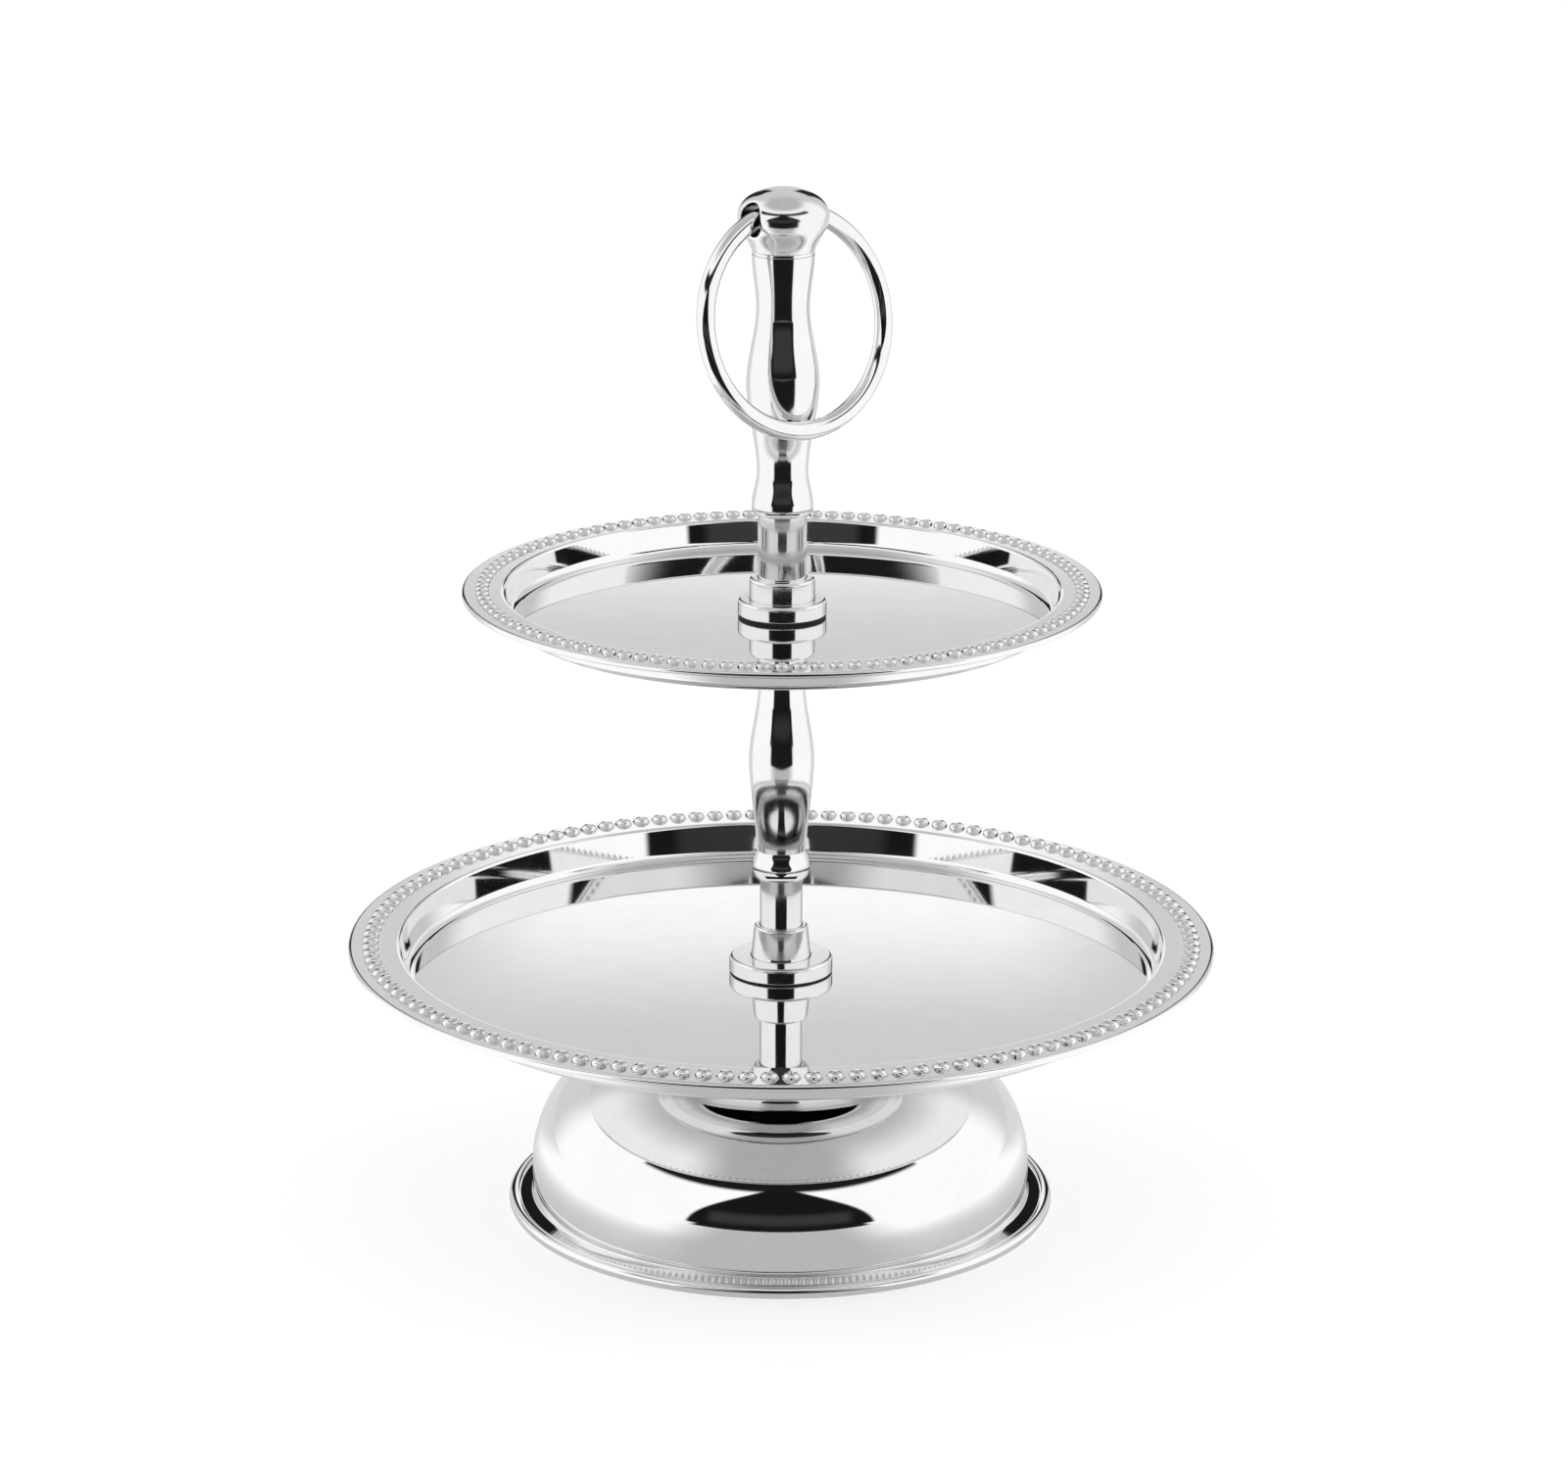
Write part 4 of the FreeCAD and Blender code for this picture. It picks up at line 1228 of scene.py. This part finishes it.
@dataclass(frozen=True)
class Studio:
    """A white tent with a dark opening at the front and a grey backdrop, over a pale table."""

    tent: float = 1.15
    patches: tuple[Patch, ...] = (
        Patch(0.72, 180.0, 48.0, -90.0, 90.0, 11.0),            # grey cloth behind
        Patch(0.56, 0.0, 181.0, 60.0, 95.0, 9.0),               # grey cloth overhead
        Patch(0.012, 164.5, 7.5, 2.0, 34.0, 1.5),               # black strips beside the backdrop
        Patch(0.010, 0.0, 43.0, -3.0, 41.0, 1.2, 38.0),         # dark room between the two front cards
        Patch(0.010, 0.0, 43.0, -90.0, -3.0, 1.2),              # the same below the table's level
        Patch(0.012, 0.0, 77.0, 33.0, 46.0, 1.6),               # dark gap above the front cards
        Patch(0.045, 12.0, 20.0, 3.0, 12.0, 3.0),               # the room's lighter far wall
    )
    table_colour: str = "f4f4f4"
    table_glow: float = 0.44
    table_roughness: float = 0.9
    reach: float = 6.0
    card_lift: float = 0.0004
    table_back: Zone = Zone(0.78, 180.0, 56.0, 10.0)            # by azimuth in degrees
    table_front: Zone = Zone(0.56, 0.0, 34.0, 14.0)             # by azimuth in degrees
    painted_tray_shadow: Zone = Zone(0.56, 0.0, 0.13, 0.06)             # painted shadow of the lower tray on the table, by distance from the foot in metres
    table_dark: Zone = Zone(0.012, 0.0, 38.0, 2.0)              # by azimuth, past the table's edge
    table_edge: float = 0.5
    edge_soft: float = 0.03
    backdrop_distance: float = 1.4
    backdrop_half: float = 0.25
    backdrop_foot: float = 0.001
    backdrop_top: float = 0.75
    backdrop_light: float = 0.70
    backdrop_lit: Zone = Zone(1.10, 0.0, 0.19, 0.06)            # across it in metres
    backdrop_fade: tuple[float, float] = (0.615, 0.515)
    camera_place: tuple[float, float, float] = (0.0, -1.717, 0.675)
    camera_down: float = 16.34
    camera_yaw: float = -0.026
    camera_roll: float = 0.2
    lens_mm: float = 119.68
    sensor_mm: float = 36.0

    @staticmethod
    def window(tree: bpy.types.NodeTree, value: bpy.types.NodeSocket, centre: float,
               half: float | bpy.types.NodeSocket, soft: float) -> bpy.types.NodeSocket:
        """Gives 1 within half of the centre and 0 outside, with a soft step of twice soft between.

        Args:
            tree: the node tree.
            value: what is compared.
            centre: the middle of the window.
            half: half its width, a number or a socket.
            soft: half the width of each step.

        Returns:
            The window's output.
        """
        away = add_node(tree, "ShaderNodeMath", {"operation": "ABSOLUTE"}, {
            0: add_node(tree, "ShaderNodeMath", {"operation": "SUBTRACT"}, {0: value, 1: centre}).outputs[0]})
        inside = add_node(tree, "ShaderNodeMath", {"operation": "SUBTRACT"}, {0: half, 1: away.outputs[0]})
        return add_node(tree, "ShaderNodeMapRange", {"interpolation_type": "SMOOTHSTEP"}, {
            "Value": inside.outputs[0], "From Min": -soft, "From Max": soft}).outputs["Result"]

    def angles(self, tree: bpy.types.NodeTree, place: bpy.types.NodeSocket) -> tuple[
            bpy.types.NodeSocket, bpy.types.NodeSocket]:
        """Turns a direction into degrees.

        Args:
            tree: the node tree.
            place: the direction or the position.

        Returns:
            The size of its azimuth from the front, and its elevation for a direction of length 1.
        """
        parts = add_node(tree, "ShaderNodeSeparateXYZ", None, {"Vector": place})
        front = add_node(tree, "ShaderNodeMath", {"operation": "MULTIPLY"}, {0: parts.outputs["Y"], 1: -1.0})
        turn = add_node(tree, "ShaderNodeMath", {"operation": "ARCTAN2"}, {
            0: parts.outputs["X"], 1: front.outputs[0]})
        size = add_node(tree, "ShaderNodeMath", {"operation": "ABSOLUTE"}, {0: turn.outputs[0]})
        aside = add_node(tree, "ShaderNodeMath", {"operation": "DEGREES"}, {0: size.outputs[0]})
        rise = add_node(tree, "ShaderNodeMath", {"operation": "ARCSINE"}, {0: parts.outputs["Z"]})
        lift = add_node(tree, "ShaderNodeMath", {"operation": "DEGREES"}, {0: rise.outputs[0]})
        return aside.outputs[0], lift.outputs[0]

    def tent_world(self) -> None:
        """Lights the tent all round: each patch in turn is mixed over what is there by its own window."""
        world = bpy.data.worlds.new("tent")
        bpy.context.scene.world = world
        world.use_nodes = True
        tree = world.node_tree
        aside, lift = self.angles(tree, add_node(tree, "ShaderNodeTexCoord").outputs["Generated"])
        light = add_node(tree, "ShaderNodeValue").outputs[0]
        light.default_value = self.tent
        for patch in self.patches:
            half = patch.half_width
            if patch.crown is not None:
                share = add_node(tree, "ShaderNodeMapRange", None, {
                    "Value": lift, "From Min": patch.low, "From Max": patch.crown}).outputs["Result"]
                square = add_node(tree, "ShaderNodeMath", {"operation": "MULTIPLY"}, {0: share, 1: share})
                left = add_node(tree, "ShaderNodeMath", {"operation": "SUBTRACT"}, {
                    0: 1.0, 1: square.outputs[0]})
                half = add_node(tree, "ShaderNodeMath", {"operation": "MULTIPLY"}, {
                    0: left.outputs[0], 1: patch.half_width}).outputs[0]
            across = self.window(tree, aside, patch.aside, half, patch.soft)
            upward = self.window(tree, lift, (patch.low + patch.high) / 2, (patch.high - patch.low) / 2,
                                 patch.soft)
            share = add_node(tree, "ShaderNodeMath", {"operation": "MULTIPLY"}, {0: across, 1: upward})
            light = add_node(tree, "ShaderNodeMix", {"data_type": "FLOAT"}, {
                0: share.outputs[0], 2: light, 3: patch.light}).outputs[0]
        seen = add_node(tree, "ShaderNodeLightPath").outputs["Is Camera Ray"]
        light = add_node(tree, "ShaderNodeMix", {"data_type": "FLOAT"}, {
            0: seen, 2: light, 3: self.tent}).outputs[0]
        background = tree.nodes["Background"]
        background.inputs["Color"].default_value = linear("ffffff")
        tree.links.new(light, background.inputs["Strength"])

    def card(self, name: str, corners: Sequence[Sequence[float]]) -> tuple[
            bpy.types.Object, bpy.types.NodeTree, bpy.types.Node]:
        """Adds a four-cornered card that only reflections see.

        Args:
            name: the card's name.
            corners: its corners in metres.

        Returns:
            The card, its material's tree and the tree's emission node.
        """
        mesh = bpy.data.meshes.new(name)
        mesh.from_pydata([tuple(corner) for corner in corners], [], [(0, 1, 2, 3)])
        card = bpy.data.objects.new(name, mesh)
        bpy.context.scene.collection.objects.link(card)
        material = bpy.data.materials.new(f"{name}_light")
        material.use_nodes = True
        tree = material.node_tree
        tree.nodes.clear()
        glow = add_node(tree, "ShaderNodeEmission")
        add_node(tree, "ShaderNodeOutputMaterial", None, {"Surface": glow.outputs["Emission"]})
        mesh.materials.append(material)
        card.visible_camera = False
        card.visible_diffuse = False
        card.visible_shadow = False
        card.visible_transmission = False
        return card, tree, glow

    def lit_table(self) -> None:
        """Lays what reflections see of the table: bright at the sides, dull in front, with the lower tray's
        shadow painted round the foot, and dark past its edge.
        """
        reach, lift = self.reach, self.card_lift
        _, tree, glow = self.card("lit_table", [
            (-reach, -reach, lift), (reach, -reach, lift), (reach, reach, lift), (-reach, reach, lift)])
        place = add_node(tree, "ShaderNodeTexCoord").outputs["Object"]
        aside, _ = self.angles(tree, place)
        parts = add_node(tree, "ShaderNodeSeparateXYZ", None, {"Vector": place})
        away = add_node(tree, "ShaderNodeVectorMath", {"operation": "LENGTH"}, {0: place}).outputs["Value"]
        light: float | bpy.types.NodeSocket = self.tent
        # Painted shadow: the last zone darkens the table round the foot, where the lower tray's shade falls.
        for value, zone in ((aside, self.table_back), (aside, self.table_front), (away, self.painted_tray_shadow)):
            share = self.window(tree, value, zone.middle, zone.half, zone.soft)
            light = add_node(tree, "ShaderNodeMix", {"data_type": "FLOAT"}, {
                0: share, 2: light, 3: zone.light}).outputs[0]
        past = add_node(tree, "ShaderNodeMapRange", {"interpolation_type": "SMOOTHSTEP"}, {
            "Value": parts.outputs["Y"], "From Min": -self.table_edge + self.edge_soft,
            "From Max": -self.table_edge - self.edge_soft})
        dark = self.table_dark
        narrow = self.window(tree, aside, dark.middle, dark.half, dark.soft)
        share = add_node(tree, "ShaderNodeMath", {"operation": "MULTIPLY"}, {
            0: past.outputs["Result"], 1: narrow})
        light = add_node(tree, "ShaderNodeMix", {"data_type": "FLOAT"}, {
            0: share.outputs[0], 2: light, 3: dark.light}).outputs[0]
        tree.links.new(light, glow.inputs["Strength"])

    def backdrop(self) -> None:
        """Hangs what reflections see of the backdrop's lit foot: white low down, and grey above."""
        half, far, lit = self.backdrop_half, self.backdrop_distance, self.backdrop_lit
        foot, top = self.backdrop_foot, self.backdrop_top
        _, tree, glow = self.card("backdrop_foot", [
            (-half, far, foot), (half, far, foot), (half, far, top), (-half, far, top)])
        parts = add_node(tree, "ShaderNodeSeparateXYZ", None, {
            "Vector": add_node(tree, "ShaderNodeTexCoord").outputs["Object"]})
        grey_from, lit_to = self.backdrop_fade
        low = add_node(tree, "ShaderNodeMapRange", {"interpolation_type": "SMOOTHSTEP"}, {
            "Value": parts.outputs["Z"], "From Min": grey_from, "From Max": lit_to})
        across = self.window(tree, parts.outputs["X"], lit.middle, lit.half, lit.soft)
        share = add_node(tree, "ShaderNodeMath", {"operation": "MULTIPLY"}, {
            0: low.outputs["Result"], 1: across})
        light = add_node(tree, "ShaderNodeMix", {"data_type": "FLOAT"}, {
            0: share.outputs[0], 2: self.backdrop_light, 3: lit.light})
        tree.links.new(light.outputs[0], glow.inputs["Strength"])

    def table(self) -> None:
        """Lays the pale table, which glows a little as white paper under tent light does."""
        reach = self.reach
        corners = np.array([[-reach, -reach, 0], [reach, -reach, 0], [reach, reach, 0], [-reach, reach, 0]])
        mesh = bpy.data.meshes.new("table")
        mesh.from_pydata(corners.tolist(), [], [(0, 1, 2, 3)])
        table = bpy.data.objects.new("table", mesh)
        bpy.context.scene.collection.objects.link(table)
        material = bpy.data.materials.new("paper_table")
        material.use_nodes = True
        shader = material.node_tree.nodes["Principled BSDF"]
        shader.inputs["Base Color"].default_value = linear(self.table_colour)
        shader.inputs["Roughness"].default_value = self.table_roughness
        shader.inputs["Specular IOR Level"].default_value = 0.0
        shader.inputs["Emission Color"].default_value = linear("ffffff")
        shader.inputs["Emission Strength"].default_value = self.table_glow
        mesh.materials.append(material)

    def camera(self) -> None:
        """Sets the camera in front, looking down at the stand through a long lens."""
        data = bpy.data.cameras.new("camera")
        data.lens = self.lens_mm
        data.sensor_width = self.sensor_mm
        camera = bpy.data.objects.new("camera", data)
        camera.location = self.camera_place
        pitch, yaw, roll = np.radians([90.0 - self.camera_down, self.camera_yaw, self.camera_roll]).tolist()
        tilt = np.array([
            [math.cos(roll), -math.sin(roll), 0], [math.sin(roll), math.cos(roll), 0], [0, 0, 1]])
        look = np.array([
            [1, 0, 0], [0, math.cos(pitch), -math.sin(pitch)], [0, math.sin(pitch), math.cos(pitch)]])
        turn = np.array([[math.cos(yaw), -math.sin(yaw), 0], [math.sin(yaw), math.cos(yaw), 0], [0, 0, 1]])
        camera.rotation_mode = "QUATERNION"
        camera.rotation_quaternion = Matrix((turn @ look @ tilt).tolist()).to_quaternion()
        bpy.context.scene.collection.objects.link(camera)
        bpy.context.scene.camera = camera

    def make(self) -> None:
        """Builds the tent, the table, the cards and the camera, and shows colours as they are."""
        self.tent_world()
        self.table()
        self.lit_table()
        self.backdrop()
        self.camera()
        bpy.context.scene.view_settings.view_transform = "Standard"


def paint(nodes: Sequence[str], material: bpy.types.Material) -> None:
    """Gives CAD nodes whose own shape stays a finish, in every material slot.

    Args:
        nodes: the nodes.
        material: the finish.
    """
    for name in nodes:
        mesh = frame["nodes"][name].data
        if not mesh.materials:
            mesh.materials.append(material)
        for index in range(len(mesh.materials)):
            mesh.materials[index] = material
        LOG.info("%s keeps its own shape", name)


def main() -> None:
    """Builds every sub-assembly in order, then the studio."""
    logging.basicConfig(level=logging.INFO, format="%(name)s: %(message)s")
    spun, column = SPUN_SHEET.build(), TURNED_COLUMN.build()
    swing = frame["joints"][0]
    hinge = float(swing["pos_m"][2]) / MM
    along = -np.array(swing["axis"], float)

    Foot().make(spun)
    BeadedTray("lower_tray", "lower_tray_spun", rim_width=17.8, well_depth=12.4, wall_lean=2.4,
               edge_wire=1.25, bead_inset=7.7, bead_count=126, bead_width=5.8, bead_rise=2.0).make(spun)
    Column("lower", flange_edge=1.3, recess_radius=10.35, recess_depth=1.0, cup_foot=10.35, cup_top=9.2,
           cup_lip=0.9, cup_floor=3.0, neck_radius=7.3,
           waves=((4.2, 10.0), (10.4, 8.7), (42.4, 11.3), (69.4, 8.05), (84.4, 9.8)),
           cup_node="lower_socket", pocket=True).make(column)
    SupportDisc().make(column)
    BeadedTray("upper_tray", "upper_tray_spun", rim_width=14.3, well_depth=10.2, wall_lean=2.0,
               edge_wire=1.1, bead_inset=6.95, bead_count=108, bead_width=4.8, bead_rise=1.6).make(spun)
    Column("upper", flange_edge=1.3, recess_radius=11.15, recess_depth=1.0, cup_foot=11.15, cup_top=11.15,
           cup_lip=1.2, cup_floor=3.0, neck_radius=8.28,
           waves=((2.9, 10.6), (14.8, 8.78), (45.4, 12.46), (71.2, 9.11), (89.4, 10.7)),
           cup_node="upper_step_collar", pocket=False).make(column)
    finial = Finial()
    finial.band(column)
    finial.head(BUFFED_HEAD.build(), hinge, along)
    CarryingRing().make(POLISHED_WIRE.build(), hinge, along)
    paint(["foot_gasket", "lower_gasket", "support_gasket", "upper_gasket"], SoftRubber().build())
    paint(["foot_washer", "foot_lock_washer", "foot_nut", "lower_tie_rod", "coupling_nut", "upper_tie_rod"],
          ZINC_PLATE.build())
    Studio().make()


if __name__ == "__main__":
    main()
